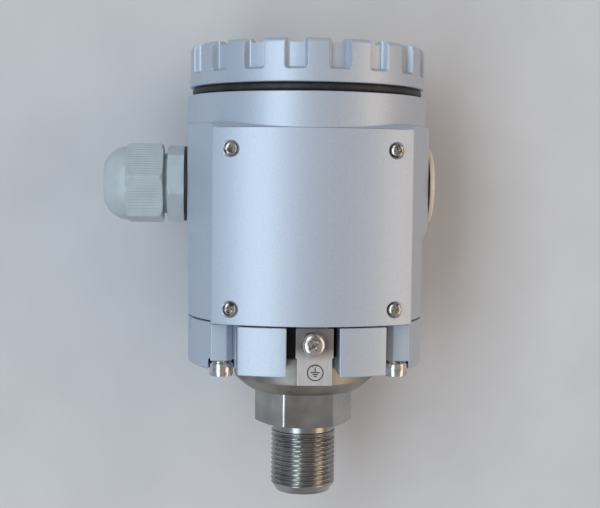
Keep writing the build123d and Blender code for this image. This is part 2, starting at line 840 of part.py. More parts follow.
with BuildPart() as gland_body:
    with BuildSketch(Plane.YZ.offset(-gland_face_x)):
        with Locations((0, entry_z)):
            RegularPolygon(gland_corner_r, 6, rotation=gland_hex_turn)
    extrude(amount=gland_hex_h)
    with BuildSketch(Plane.XZ):
        with BuildLine():
            Polyline(
                (-gland_face_x, entry_z),
                (-gland_face_x, entry_z + gland_flats / 2),
                (-gland_face_x + gland_hex_crown, entry_z + gland_corner_r),
                (-gland_x, entry_z + gland_corner_r),
                (-gland_x, entry_z),
                close=True,
            )
        make_face()
    revolve(axis=entry_axis, mode=Mode.INTERSECT)
    with BuildSketch(Plane.YZ.offset(-gland_x)):
        with Locations((0, entry_z)):
            Circle(entry_r)
    extrude(amount=gland_thread_len)
    with BuildSketch(Plane.YZ.offset(-gland_face_x)):
        with Locations((0, entry_z)):
            Circle(gland_neck_r)
    extrude(amount=-gland_neck_len)
    with BuildSketch(Plane.YZ.offset(-neck_end_x)):
        with Locations((0, entry_z)):
            Circle(gland_bore_r)
    extrude(amount=gland_neck_len + gland_hex_h + gland_thread_len, mode=Mode.SUBTRACT)
gland_body.part.label = "gland_body"
export_step(gland_body.part, "parts/gland_body.step")

with BuildPart() as gland_seal:
    with BuildSketch(Plane.XZ):
        with BuildLine():
            Polyline(
                (-bush_x, entry_z + bush_bore_r),
                (-bush_x, entry_z + bush_r),
                (-neck_end_x, entry_z + bush_r),
                (-neck_end_x - bush_seat, entry_z + bush_body_r),
                (-bush_end_x + bush_shoulder_len, entry_z + bush_body_r),
                (-bush_end_x, entry_z + nut_mouth_r + running_gap),
                (-bush_end_x, entry_z + bush_bore_r),
                close=True,
            )
        make_face()
    revolve(axis=entry_axis)
gland_seal.part.label = "gland_seal"
export_step(gland_seal.part, "parts/gland_seal.step")

with BuildPart() as gland_nut:
    with BuildSketch(Plane.XZ):
        with BuildLine():
            rim = Line((-nut_x, entry_z + gland_neck_r + thread_fit), (-nut_x, entry_z + nut_r))
            barrel = Line(rim @ 1, (-nut_x - nut_barrel_len, entry_z + nut_r))
            dome = ThreePointArc(
                barrel @ 1,
                (-nut_end_x + nut_dome_side, entry_z + nut_r - nut_dome_side),
                (-nut_end_x, entry_z + nut_mouth_r),
            )
            Polyline(
                dome @ 1,
                (-bush_end_x - nut_seat_len, entry_z + nut_mouth_r),
                (-bush_end_x + nut_seat_slope_len, entry_z + gland_neck_r + thread_fit),
                rim @ 0,
            )
        make_face()
    revolve(axis=entry_axis)
    with BuildSketch(Plane.YZ.offset(-nut_end_x)):
        with Locations((0, entry_z)):
            Circle(nut_r + cut_past)
            RegularPolygon(nut_flats / 2, 6, major_radius=False, rotation=nut_hex_turn, mode=Mode.SUBTRACT)
    extrude(amount=nut_len, mode=Mode.SUBTRACT)
gland_nut.part.label = "gland_nut"
export_step(gland_nut.part, "parts/gland_nut.step")

# Blanking plug: a low head with a key recess and a hollow threaded shank
with BuildPart() as plug_gasket:
    with BuildSketch(Plane.YZ.offset(entry_face)):
        with Locations((0, entry_z)):
            Circle(plug_gasket_r)
            Circle(entry_r + thread_fit, mode=Mode.SUBTRACT)
    extrude(amount=plug_gasket_t)
plug_gasket.part.label = "plug_gasket"
export_step(plug_gasket.part, "parts/plug_gasket.step")

with BuildPart() as blank_plug:
    with BuildSketch(Plane.YZ.offset(plug_x)):
        with Locations((0, entry_z)):
            Circle(plug_head_r)
    extrude(amount=plug_head_h)
    fillet(blank_plug.edges().group_by(Axis.X)[-1], plug_head_round)
    with BuildSketch(Plane.YZ.offset(plug_x)):
        with Locations((0, entry_z)):
            Circle(entry_r)
            Circle(entry_r - plug_wall, mode=Mode.SUBTRACT)
    extrude(amount=-plug_thread_len)
    with BuildSketch(Plane.YZ.offset(plug_x + plug_head_h)):
        with Locations((0, entry_z)):
            Rectangle(2 * plug_key_half, plug_key_w)
    extrude(amount=-plug_key_h, mode=Mode.SUBTRACT)
blank_plug.part.label = "blank_plug"
export_step(blank_plug.part, "parts/blank_plug.step")

# Ground bracket: a bent strip whose lower tab leans forward
bend_run = (bracket_bend_z - bracket_bottom_z) * math.tan(math.radians(bracket_tilt))
with BuildPart() as ground_bracket:
    with BuildSketch(Plane.YZ.offset(bracket_shift - bracket_w / 2)):
        with BuildLine():
            Polyline(
                (-bracket_face_y, seam_z - plate_gap),
                (-ground_seat_y, seam_z - plate_gap),
                (-ground_seat_y, bracket_bend_z),
                (-ground_seat_y - bend_run, bracket_bottom_z),
                (-bracket_face_y - bend_run, bracket_bottom_z),
                (-bracket_face_y, bracket_bend_z),
                close=True,
            )
        make_face()
    extrude(amount=bracket_w)
    with BuildSketch(Plane.XZ.offset(ground_seat_y)):
        with Locations((bracket_shift, bracket_bottom_z)):
            with GridLocations(bracket_w, 1, 2, 1):
                Rectangle(bracket_w - bracket_tab_w, 2 * (bracket_bend_z - bracket_bottom_z))
    extrude(amount=2 * bracket_t + bend_run, mode=Mode.SUBTRACT)
    with Locations(Location((0, -bracket_face_y, ground_z), (90, 0, 0))):
        Hole(ground_screw_r + screw_fit, depth=2 * bracket_t)
ground_bracket.part.label = "ground_bracket"
export_step(ground_bracket.part, "parts/ground_bracket.step")

washer_face_y = bracket_face_y + ground_washer_t
spring_face_y = washer_face_y + ground_spring_t
with BuildPart() as ground_washer:
    with BuildSketch(Plane.XZ.offset(bracket_face_y)):
        with Locations((0, ground_z)):
            Circle(ground_washer_r)
            Circle(ground_screw_r + screw_fit / 2, mode=Mode.SUBTRACT)
    extrude(amount=ground_washer_t)
ground_washer.part.label = "ground_washer"
export_step(ground_washer.part, "parts/ground_washer.step")

with BuildPart() as ground_spring_washer:
    with BuildSketch(Plane.XZ.offset(washer_face_y)):
        with Locations((0, ground_z)):
            Circle(ground_spring_r)
            Circle(ground_screw_r + screw_fit / 2, mode=Mode.SUBTRACT)
        with Locations((0, ground_z + ground_spring_r)):
            Rectangle(
                ground_spring_split, ground_spring_r, rotation=ground_spring_skew, mode=Mode.SUBTRACT
            )
    extrude(amount=ground_spring_t)
ground_spring_washer.part.label = "ground_spring_washer"
export_step(ground_spring_washer.part, "parts/ground_spring_washer.step")

with BuildPart() as ground_screw:
    with BuildSketch(Plane.XZ.offset(spring_face_y)):
        with Locations((0, ground_z)):
            Circle(ground_head_r)
    extrude(amount=ground_head_h)
    fillet(ground_screw.edges().group_by(Axis.Y)[0], ground_head_round)
    with BuildSketch(Plane.XZ.offset(spring_face_y)):
        with Locations((0, ground_z)):
            Circle(ground_screw_r)
    extrude(amount=-(spring_face_y - ground_seat_y + ground_bite))
ground_screw.part.label = "ground_screw"
export_step(ground_screw.part, "parts/ground_screw.step")
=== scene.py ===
import math

import bmesh
import bpy
from mathutils import Matrix, Vector


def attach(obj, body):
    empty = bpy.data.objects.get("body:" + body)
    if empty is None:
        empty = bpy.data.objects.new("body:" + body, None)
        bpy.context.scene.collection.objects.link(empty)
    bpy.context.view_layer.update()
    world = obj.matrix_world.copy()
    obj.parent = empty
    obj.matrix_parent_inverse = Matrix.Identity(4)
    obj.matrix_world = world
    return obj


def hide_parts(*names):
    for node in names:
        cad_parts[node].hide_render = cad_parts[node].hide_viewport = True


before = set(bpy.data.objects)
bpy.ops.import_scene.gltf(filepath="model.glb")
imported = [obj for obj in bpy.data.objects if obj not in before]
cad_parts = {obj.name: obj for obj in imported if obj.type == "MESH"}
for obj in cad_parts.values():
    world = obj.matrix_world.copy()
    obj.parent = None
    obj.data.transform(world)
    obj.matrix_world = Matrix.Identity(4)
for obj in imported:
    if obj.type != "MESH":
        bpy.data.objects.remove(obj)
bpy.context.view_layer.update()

MM = 0.001

# Housing: an aluminium pot with a heavier collar and a flattened front, cast and then
# painted in a silver blue metallic. Blasting before the paint has broken its edges.
HOUSING_EDGE = 0.35
DRUM_R, COLLAR_R = 36.3, 36.72
COLLAR_LOW, COLLAR_FOOT, SHOULDER_RISE = 90.36, 92.3, 0.53
SKIRT_T, SKIRT_LAP = 1.1, 0.3
PAD_R, PAD_CENTRE_Y, PAD_HALF = 57.0, 20.27, 29.2
SEAM_Z, SEAM_GAP, SEAM_IN_R = 33.5, 0.4, 32.0
PAINT_BLUE = (0.45, 0.51, 0.60)
PAINT_PALE = (0.51, 0.565, 0.645)
# An edge is rounded where its faces turn by more than this many degrees
SHARP_FROM = 30
# Points nearer to each other than this are merged
WELD = 0.002


def make_material(name, colour, roughness, metallic=0.0):
    """A new material on the ordinary shader."""
    material = bpy.data.materials.new(name)
    material.use_nodes = True
    shader = material.node_tree.nodes["Principled BSDF"]
    shader.inputs["Base Color"].default_value = (*colour, 1)
    shader.inputs["Roughness"].default_value = roughness
    shader.inputs["Metallic"].default_value = metallic
    return material


def mottle(material, per_mm, stretch=(1, 1, 1), detail=3.0):
    """Noise on the piece's own coordinates, with about per_mm spots to a millimetre."""
    nodes, links = material.node_tree.nodes, material.node_tree.links
    place = nodes.new("ShaderNodeTexCoord")
    scale = nodes.new("ShaderNodeMapping")
    scale.inputs["Scale"].default_value = [side * per_mm / MM for side in stretch]
    noise = nodes.new("ShaderNodeTexNoise")
    noise.inputs["Scale"].default_value = 1
    noise.inputs["Detail"].default_value = detail
    links.new(place.outputs["Object"], scale.inputs["Vector"])
    links.new(scale.outputs["Vector"], noise.inputs["Vector"])
    return noise.outputs["Fac"]


def tint(material, pattern, low, high, start=0.35, end=0.65, over=None):
    """Colours the piece from low to high by a pattern, over an earlier colour if there is one."""
    nodes, links = material.node_tree.nodes, material.node_tree.links
    shader = nodes["Principled BSDF"]
    ramp = nodes.new("ShaderNodeValToRGB")
    ramp.color_ramp.elements[0].position = start
    ramp.color_ramp.elements[1].position = end
    ramp.color_ramp.elements[0].color = (*low, 1)
    ramp.color_ramp.elements[1].color = (*high, 1)
    links.new(pattern, ramp.inputs["Fac"])
    colour = ramp.outputs["Color"]
    if over is not None:
        blend = nodes.new("ShaderNodeMix")
        blend.data_type = "RGBA"
        blend.blend_type = "MULTIPLY"
        blend.inputs["Factor"].default_value = 1
        links.new(over, blend.inputs["A"])
        links.new(colour, blend.inputs["B"])
        colour = blend.outputs["Result"]
    links.new(colour, shader.inputs["Base Color"])
    return colour


def relief(material, pattern, height):
    """A fine unevenness of the surface, its height in millimetres."""
    nodes, links = material.node_tree.nodes, material.node_tree.links
    bump = nodes.new("ShaderNodeBump")
    bump.inputs["Distance"].default_value = height * MM
    bump.inputs["Strength"].default_value = 1
    links.new(pattern, bump.inputs["Height"])
    links.new(bump.outputs["Normal"], nodes["Principled BSDF"].inputs["Normal"])


def dress(piece, material):
    """Gives a piece, new or from the frame, one material all over."""
    piece.data.materials.clear()
    piece.data.materials.append(material)


def pick_out(piece):
    """Selects one piece alone and makes it the active one."""
    bpy.ops.object.select_all(action="DESELECT")
    piece.select_set(True)
    bpy.context.view_layer.objects.active = piece


def finish_piece(piece, material, body, slot, *nodes, angle=35, even=False):
    """Smooths a new piece, gives it its finish and body, and puts it in place of its nodes."""
    pick_out(piece)
    bpy.ops.object.shade_smooth_by_angle(angle=math.radians(angle))
    if even:
        # Keeps large faces flat beside their narrow rounded edges
        weighing = piece.modifiers.new("weighing", "WEIGHTED_NORMAL")
        weighing.keep_sharp = True
        bpy.ops.object.modifier_apply(modifier=weighing.name)
    dress(piece, material)
    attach(piece, body)
    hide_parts(*nodes)


def round_edges(piece, width, spared=None):
    """Rounds every sharp edge of a piece, or all but those whose middle is spared."""
    pick_out(piece)
    rounding = piece.modifiers.new("rounding", "BEVEL")
    rounding.width = width * MM
    rounding.segments = 2
    rounding.limit_method = "ANGLE"
    rounding.angle_limit = math.radians(SHARP_FROM)
    rounding.use_clamp_overlap = False
    if spared:
        mesh = bmesh.new()
        mesh.from_mesh(piece.data)
        weight = mesh.edges.layers.float.new("bevel_weight_edge")
        for edge in mesh.edges:
            sharp = len(edge.link_faces) == 2 and edge.calc_face_angle() > math.radians(SHARP_FROM)
            if sharp and not spared((edge.verts[0].co + edge.verts[1].co) / (2 * MM)):
                edge[weight] = 1
        mesh.to_mesh(piece.data)
        mesh.free()
        rounding.limit_method = "WEIGHT"
    bpy.ops.object.modifier_apply(modifier=rounding.name)


def merged_copy(node, name):
    """A copy of a solid of the frame with its loose triangles merged."""
    piece = bpy.data.objects.new(name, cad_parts[node].data.copy())
    bpy.context.scene.collection.objects.link(piece)
    pick_out(piece)
    bpy.ops.object.mode_set(mode="EDIT")
    bpy.ops.mesh.select_all(action="SELECT")
    bpy.ops.mesh.remove_doubles(threshold=WELD * MM)
    bpy.ops.mesh.dissolve_limited(angle_limit=math.radians(0.4))
    bpy.ops.object.mode_set(mode="OBJECT")
    return piece


def turned(name, outline, sides):
    """Spins a closed outline of (radius, height) points, in millimetres, about the upright axis."""
    bpy.ops.object.select_all(action="DESELECT")
    bpy.ops.mesh.primitive_circle_add(vertices=len(outline), radius=1, fill_type="NOTHING")
    piece = bpy.context.object
    piece.name = piece.data.name = name
    for vertex, (radius, height) in zip(piece.data.vertices, outline):
        vertex.co = (radius * MM, 0, height * MM)
    bpy.ops.object.mode_set(mode="EDIT")
    bpy.ops.mesh.select_all(action="SELECT")
    bpy.ops.mesh.spin(steps=sides, angle=2 * math.pi, center=(0, 0, 0), axis=(0, 0, 1))
    bpy.ops.mesh.select_all(action="SELECT")
    bpy.ops.mesh.remove_doubles(threshold=WELD * MM)
    bpy.ops.mesh.normals_make_consistent(inside=False)
    bpy.ops.object.mode_set(mode="OBJECT")
    return piece


silver_paint = make_material("silver_paint", PAINT_BLUE, 0.46, 0.45)
tint(silver_paint, mottle(silver_paint, 3.0, detail=1.0), PAINT_BLUE, PAINT_PALE)
relief(silver_paint, mottle(silver_paint, 1.1), 0.012)
paint_shader = silver_paint.node_tree.nodes["Principled BSDF"]
paint_shader.inputs["Coat Weight"].default_value = 0.25
paint_shader.inputs["Coat Roughness"].default_value = 0.25

housing = merged_copy("housing", "housing_cast")
round_edges(housing, HOUSING_EDGE)
for vertex in housing.data.vertices:
    x, y, z = vertex.co / MM
    # Opens the seam above the lower ring
    if SEAM_Z - 0.01 < z < SEAM_Z + HOUSING_EDGE + 0.01 and math.hypot(x, y) > SEAM_IN_R:
        vertex.co.z += SEAM_GAP * MM
    # The pad's top falls from the collar to the front plate's upper edge
    on_pad = y < 0 and abs(x) < PAD_HALF + 0.1 and math.hypot(x, y) > DRUM_R - 0.1
    if on_pad and COLLAR_LOW < z < COLLAR_FOOT:
        behind = max(0, PAD_R - math.hypot(x, y - PAD_CENTRE_Y))
        vertex.co.z = min(z, COLLAR_LOW + SHOULDER_RISE * behind) * MM
# The collar's skin reaches down to the height of the plate's upper edge
skirt = turned(
    "skirt",
    [
        (COLLAR_R - SKIRT_T, COLLAR_LOW),
        (COLLAR_R, COLLAR_LOW),
        (COLLAR_R, COLLAR_FOOT + SKIRT_LAP),
        (COLLAR_R - SKIRT_T, COLLAR_FOOT + SKIRT_LAP),
    ],
    sides=360,
)
pick_out(housing)
skirt.select_set(True)
bpy.ops.object.join()
finish_piece(housing, silver_paint, "housing_group", "silver_paint", "housing", even=True)

# Screw cover: a dished cap of the same casting and paint. Eighteen pockets leave ribs
# to grip, channels run out through its raised rim, and the neck below carries its thread.
COVER_R, COVER_Z, COVER_TOP = 36.04, 103.2, 115.55
COVER_FACE, COVER_RIM_IN, COVER_EDGE, COVER_WALL = 114.35, 31.04, 1.6, 3.0
NECK_R, NECK_IN_R, NECK_Z = 32.0, 28.8, 93.0
NECK_CHAMFER, NECK_RELIEF = 0.8, 0.6
COVER_THREAD_PITCH, COVER_THREAD_DEPTH = 2.0, 1.0
POCKETS, POCKET_Z, POCKET_DEPTH, RIB_TURN = 18, 106.7, 2.2, 0.9
POCKET_HALF, POCKET_SLOPE, POCKET_CORNER, CROWDING = 3.4, 0.85, 1.3, 0.7
CHANNEL_HALF, CHANNEL_SLOPE = 2.5, 0.7
# Shares of half a thread's pitch that its flat crest and its flank take
THREAD_CREST, THREAD_FLANK = 0.12, 0.74


def stepped(start, end, step):
    """Points along a straight stretch of an outline, both ends included."""
    count = max(1, round(math.dist(start, end) / step))
    return [
        (start[0] + (end[0] - start[0]) * i / count, start[1] + (end[1] - start[1]) * i / count)
        for i in range(count + 1)
    ]


def arc(centre, radius, first, last):
    """Seven points on a rounding of an outline, angles in degrees."""
    turns = [math.radians(first + (last - first) * i / 6) for i in range(7)]
    return [(centre[0] + radius * math.cos(t), centre[1] + radius * math.sin(t)) for t in turns]


def ease(share):
    """Goes from 0 to 1 with a soft start and a soft end."""
    share = min(1.0, max(0.0, share))
    return share * share * (3 - 2 * share)


def cut_thread(piece, wall_r, low, high, pitch, depth, runout):
    """Sinks a right-hand thread into a turned wall between two heights."""
    for vertex in piece.data.vertices:
        x, y, z = vertex.co / MM
        radius = math.hypot(x, y)
        if abs(radius - wall_r) > 0.01 or not low < z < high:
            continue
        phase = (z / pitch - math.atan2(y, x) / (2 * math.pi)) % 1.0
        groove = min(1.0, max(0.0, (abs(2 * phase - 1) - THREAD_CREST) / THREAD_FLANK))
        fade = min(1.0, (z - low) / runout, (high - z) / runout)
        sunk = 1 - depth * groove * fade / radius
        vertex.co.x *= sunk
        vertex.co.y *= sunk


cover_outline = [
    (0, COVER_FACE - COVER_WALL),
    (NECK_IN_R, COVER_FACE - COVER_WALL),
    (NECK_IN_R, NECK_Z),
    (NECK_R - NECK_CHAMFER, NECK_Z),
    *stepped((NECK_R, NECK_Z + NECK_CHAMFER), (NECK_R, COVER_Z - NECK_RELIEF), 0.2),
    (NECK_R, COVER_Z),
    (COVER_R - 0.35, COVER_Z),
    (COVER_R - 0.1, COVER_Z + 0.1),
    (COVER_R, COVER_Z + 0.35),
    *stepped((COVER_R, POCKET_Z - 0.5), (COVER_R, POCKET_Z + 1.5), 0.14),
    *stepped((COVER_R, POCKET_Z + 2.1), (COVER_R, COVER_TOP - COVER_EDGE), 0.6),
    *arc((COVER_R - COVER_EDGE, COVER_TOP - COVER_EDGE), COVER_EDGE, 12, 90),
    *stepped((COVER_R - COVER_EDGE - 0.4, COVER_TOP), (COVER_RIM_IN + 0.9, COVER_TOP), 0.4),
    (COVER_RIM_IN + 0.55, COVER_TOP - 0.1),
    (COVER_RIM_IN + 0.3, COVER_TOP - 0.4),
    (COVER_RIM_IN + 0.1, COVER_FACE + 0.3),
    (COVER_RIM_IN - 0.2, COVER_FACE),
    # Rows close to the rim keep the face evenly shaded
    (COVER_RIM_IN - 0.6, COVER_FACE),
    (COVER_RIM_IN - 1.2, COVER_FACE),
    (0, COVER_FACE),
]
cover = turned("screw_cover", cover_outline, sides=576)
neck_low, neck_high = NECK_Z + NECK_CHAMFER, COVER_Z - NECK_RELIEF
cut_thread(cover, NECK_R, neck_low, neck_high, COVER_THREAD_PITCH, COVER_THREAD_DEPTH, runout=1.0)
pitch = 2 * math.pi / POCKETS
for vertex in cover.data.vertices:
    x, y, z = vertex.co / MM
    radius = math.hypot(x, y)
    # What lies below the pockets or inside the rim stays round
    if z < POCKET_Z - 0.6 or radius < COVER_RIM_IN - 0.1:
        continue
    # The pockets sit between the ribs, and a rib stands near the front
    turn = (math.atan2(y, x) + math.radians(90 - RIB_TURN)) % pitch - pitch / 2
    # The points are crowded towards the pockets' walls
    moved = CROWDING * pitch / (4 * math.pi) * math.sin(4 * math.pi * turn / pitch)
    vertex.co = Matrix.Rotation(moved, 3, "Z") @ vertex.co
    along = (turn + moved) * COVER_R
    across = abs(along) - POCKET_HALF + POCKET_CORNER
    below = POCKET_Z - z + POCKET_CORNER
    outside = math.hypot(max(across, 0), max(below, 0)) + min(max(across, below), 0)
    sink = POCKET_DEPTH * ease((POCKET_CORNER - outside) / POCKET_SLOPE)
    drop = (COVER_TOP - COVER_FACE) * ease((CHANNEL_HALF - abs(along)) / CHANNEL_SLOPE)
    narrowed = min(radius, COVER_R - sink) / radius
    vertex.co.x *= narrowed
    vertex.co.y *= narrowed
    vertex.co.z = min(z, COVER_TOP - drop) * MM
finish_piece(cover, silver_paint, "cover", "silver_paint", "top_cover", angle=50)

# Rubber seals and gaskets: moulded in black rubber, a little dusty. They are squeezed at
# the cover, the connector, both cable entries, the gland and the measuring cell.
RUBBER_BLACK, RUBBER_DUSTY = (0.008, 0.009, 0.011), (0.026, 0.027, 0.030)
RUBBER_NODES = (
    "cover_o_ring",
    "gland_gasket",
    "gland_seal",
    "plug_gasket",
    "connector_gasket",
    "sensor_o_ring",
)
black_rubber = make_material("black_rubber", RUBBER_BLACK, 0.5)
tint(black_rubber, mottle(black_rubber, 0.35), RUBBER_BLACK, RUBBER_DUSTY, 0.45, 0.8)
relief(black_rubber, mottle(black_rubber, 4.0), 0.02)
for name in RUBBER_NODES:
    dress(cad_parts[name], black_rubber)

# Front plate: a thick curved casting in a seat of the housing, painted with it. Each
# corner has a spot-faced pocket with a hole for its screw.
PLATE_LOW, PLATE_HIGH = 33.9, 90.32
PLATE_T, PLATE_EDGE = 2.8, 0.14
PLATE_CELLS_X, PLATE_CELLS_Z = 106, 103
PLATE_POCKET_R, PLATE_POCKET_Y = 2.5, -30.6
PLATE_HOLE_R, PLATE_HOLE_L = 1.33, 7.0
PLATE_SCREW_X, PLATE_SCREW_Z = 23.8, (38.4, 84.2)
# Turns what stands upright so that it points out at the front
TO_FRONT = Matrix.Rotation(math.pi / 2, 4, "X")


def shifted(x, y, z):
    """A move by so many millimetres."""
    return Matrix.Translation((x * MM, y * MM, z * MM))


def cut_out(piece, cutter):
    """Cuts a second solid out of the first and throws it away."""
    pick_out(piece)
    cut = piece.modifiers.new("cut", "BOOLEAN")
    cut.operation = "DIFFERENCE"
    cut.solver = "EXACT"
    cut.object = cutter
    bpy.ops.object.modifier_apply(modifier=cut.name)
    bpy.data.objects.remove(cutter)


bpy.ops.object.select_all(action="DESELECT")
bpy.ops.mesh.primitive_grid_add(
    x_subdivisions=PLATE_CELLS_X,
    y_subdivisions=PLATE_CELLS_Z,
    size=1,
    location=(0, 0, (PLATE_LOW + PLATE_HIGH) / 2 * MM),
    rotation=(math.pi / 2, 0, 0),
)
plate = bpy.context.object
plate.name = plate.data.name = "front_plate_cast"
plate.scale = (2 * PAD_HALF * MM, (PLATE_HIGH - PLATE_LOW) * MM, 1)
bpy.ops.object.transform_apply(location=True, rotation=True, scale=True)
bpy.ops.object.mode_set(mode="EDIT")
bpy.ops.mesh.select_all(action="SELECT")
bpy.ops.mesh.extrude_region_move(TRANSFORM_OT_translate={"value": (0, PLATE_T * MM, 0)})
bpy.ops.object.mode_set(mode="OBJECT")
# Both faces are bent to the pad's curve
for vertex in plate.data.vertices:
    radius = PAD_R - PLATE_T if vertex.co.y > PLATE_T / 2 * MM else PAD_R
    vertex.co.y = (PAD_CENTRE_Y - math.sqrt(radius**2 - (vertex.co.x / MM) ** 2)) * MM
bpy.ops.object.mode_set(mode="EDIT")
bpy.ops.mesh.select_all(action="SELECT")
bpy.ops.mesh.normals_make_consistent(inside=False)
bpy.ops.object.mode_set(mode="OBJECT")
round_edges(plate, PLATE_EDGE)
for x in (-PLATE_SCREW_X, PLATE_SCREW_X):
    for z in PLATE_SCREW_Z:
        pocket = turned(
            "pocket",
            [
                (0, -PLATE_HOLE_L),
                (PLATE_HOLE_R, -PLATE_HOLE_L),
                (PLATE_HOLE_R, 0),
                (PLATE_POCKET_R, 0),
                (PLATE_POCKET_R, PLATE_T),
                (0, PLATE_T),
            ],
            sides=48,
        )
        pocket.data.transform(shifted(x, PLATE_POCKET_Y, z) @ TO_FRONT)
        cut_out(plate, pocket)
finish_piece(plate, silver_paint, "housing_group", "silver_paint", "front_plate", even=True)

# Screws of the front plate: small pan heads with a cross recess, of plated steel with dark
# spots of dirt. Each sits in a pocket of the plate.
PLATE_HEAD_R, PLATE_HEAD_H = 2.05, 1.7
PLATE_SHANK_R, PLATE_SHANK_L = 1.2, 7.0
PLATE_SCREW_TURNS = (38, 15, 20, 8)
SCREW_STEEL, SCREW_DIRT = (0.55, 0.52, 0.47), (0.11, 0.095, 0.08)


def polish(material, pattern, low, high):
    """Roughness that wanders between two values."""
    nodes, links = material.node_tree.nodes, material.node_tree.links
    spread = nodes.new("ShaderNodeMapRange")
    spread.inputs["From Min"].default_value = 0.3
    spread.inputs["From Max"].default_value = 0.7
    spread.inputs["To Min"].default_value = low
    spread.inputs["To Max"].default_value = high
    links.new(pattern, spread.inputs["Value"])
    links.new(spread.outputs["Result"], nodes["Principled BSDF"].inputs["Roughness"])


fastener_steel = make_material("fastener_steel", SCREW_STEEL, 0.24, 1.0)
tint(fastener_steel, mottle(fastener_steel, 0.7, detail=1.0), SCREW_DIRT, SCREW_STEEL, 0.38, 0.56)
polish(fastener_steel, mottle(fastener_steel, 1.2), 0.16, 0.3)
relief(fastener_steel, mottle(fastener_steel, 2.0), 0.008)


def block(width, depth, low, high, taper=1.0, turn=0.0):
    """An upright bar for cutting recesses, its foot narrowed by the taper."""
    bpy.ops.object.select_all(action="DESELECT")
    bpy.ops.mesh.primitive_cube_add(size=1, rotation=(0, 0, turn))
    bar = bpy.context.object
    bar.scale = (width * MM, depth * MM, (high - low) * MM)
    bar.location.z = (low + high) / 2 * MM
    bpy.ops.object.transform_apply(location=True, rotation=True, scale=True)
    for vertex in bar.data.vertices:
        if vertex.co.z < (low + high) / 2 * MM:
            vertex.co.x *= taper
            vertex.co.y *= taper
    return bar


def pan_head_screw(name, head_r, head_h, shank_r, shank_l):
    """A pan head screw that stands on the origin, with a cross recess in its head."""
    dome = 0.55 * head_h
    outline = [
        (0, -shank_l),
        (shank_r - 0.3, -shank_l),
        (shank_r, -shank_l + 0.3),
        (shank_r, 0),
        (head_r - 0.1, 0),
        (head_r, 0.1),
        (head_r, head_h - dome),
        (head_r * 0.96, head_h - dome * 0.62),
        (head_r * 0.86, head_h - dome * 0.3),
        (head_r * 0.68, head_h - dome * 0.1),
        (head_r * 0.4, head_h),
        (0, head_h),
    ]
    screw = turned(name, outline, sides=64)
    for turn in (0, math.pi / 2):
        wing = block(head_r * 1.15, head_r * 0.27, head_h * 0.3, head_h + 0.5, 0.55, turn)
        cut_out(screw, wing)
    return screw


def placed_copy(piece, name, matrix):
    """A copy with a mesh of its own, its place taken into that mesh."""
    copy = bpy.data.objects.new(name, piece.data.copy())
    bpy.context.scene.collection.objects.link(copy)
    copy.data.transform(matrix)
    return copy


plate_screw = pan_head_screw("plate_screw", PLATE_HEAD_R, PLATE_HEAD_H, PLATE_SHANK_R, PLATE_SHANK_L)
corners = [(x, z) for z in PLATE_SCREW_Z for x in (-PLATE_SCREW_X, PLATE_SCREW_X)]
for i, (x, z) in enumerate(corners):
    spun = Matrix.Rotation(math.radians(PLATE_SCREW_TURNS[i]), 4, "Z")
    seat = shifted(x, PLATE_POCKET_Y, z) @ TO_FRONT @ spun
    screw = placed_copy(plate_screw, f"front_plate_screw_{i + 1}", seat)
    finish_piece(screw, fastener_steel, "housing_group", "screw_steel", "front_plate_screws")
bpy.data.objects.remove(plate_screw)

# Lower ring: a cast ring that clamps the connector's flange against the housing. Two
# thick segments in front carry on the flattened face, with the earthing bracket between.
RING_EDGE = 0.35
SLIT_ANGLE, SLIT_REACH, SLIT_WIDENING = 78.5, 1.5, 0.7
SLIT_LOW, SLIT_IN_R = 29.5, 34.0


def in_slit(point):
    """Whether a point lies on one of the two narrow prising slits, which stay sharp."""
    turn = abs(math.degrees(math.atan2(point.x, -point.y)))
    beside = abs(turn - SLIT_ANGLE) < SLIT_REACH
    return beside and point.z > SLIT_LOW and math.hypot(point.x, point.y) > SLIT_IN_R


ring = merged_copy("lower_ring", "lower_ring_cast")
for vertex in ring.data.vertices:
    if in_slit(vertex.co / MM):
        # The slits are opened a little, each wall away from the middle
        turn = math.degrees(math.atan2(vertex.co.x, -vertex.co.y))
        side = math.copysign(1, turn) * math.copysign(1, abs(turn) - SLIT_ANGLE)
        vertex.co = Matrix.Rotation(math.radians(side * SLIT_WIDENING), 3, "Z") @ vertex.co
round_edges(ring, RING_EDGE, spared=in_slit)
finish_piece(ring, silver_paint, "housing_group", "silver_paint", "lower_ring", even=True)

# Socket head screws of the ring: bright steel, hexagon sockets facing down, each with
# a small washer above its head.
RING_SCREW_CIRCLE, RING_SCREW_ANGLE = 32.6, 53.0
RING_HEAD_R, RING_HEAD_TOP, RING_HEAD_H = 3.5, 21.4, 4.0
RING_SCREW_R, RING_SCREW_L = 2.0, 21.1
RING_SOCKET_R, RING_SOCKET_H = 1.75, 2.2
BRIGHT_STEEL, BRIGHT_STAIN = (0.64, 0.63, 0.62), (0.30, 0.27, 0.24)
bright_steel = make_material("bright_steel", BRIGHT_STEEL, 0.2, 1.0)
tint(bright_steel, mottle(bright_steel, 0.5), BRIGHT_STAIN, BRIGHT_STEEL, 0.28, 0.5)
relief(bright_steel, mottle(bright_steel, 0.8, (1, 1, 8)), 0.01)
head_low = RING_HEAD_TOP - RING_HEAD_H
ring_screw = turned(
    "ring_screw",
    [
        (0, head_low),
        (RING_HEAD_R - 0.55, head_low),
        (RING_HEAD_R - 0.12, head_low + 0.12),
        (RING_HEAD_R, head_low + 0.5),
        (RING_HEAD_R, RING_HEAD_TOP - 0.25),
        (RING_HEAD_R - 0.25, RING_HEAD_TOP),
        (RING_SCREW_R, RING_HEAD_TOP),
        (RING_SCREW_R, RING_HEAD_TOP + RING_SCREW_L),
        (0, RING_HEAD_TOP + RING_SCREW_L),
    ],
    sides=64,
)
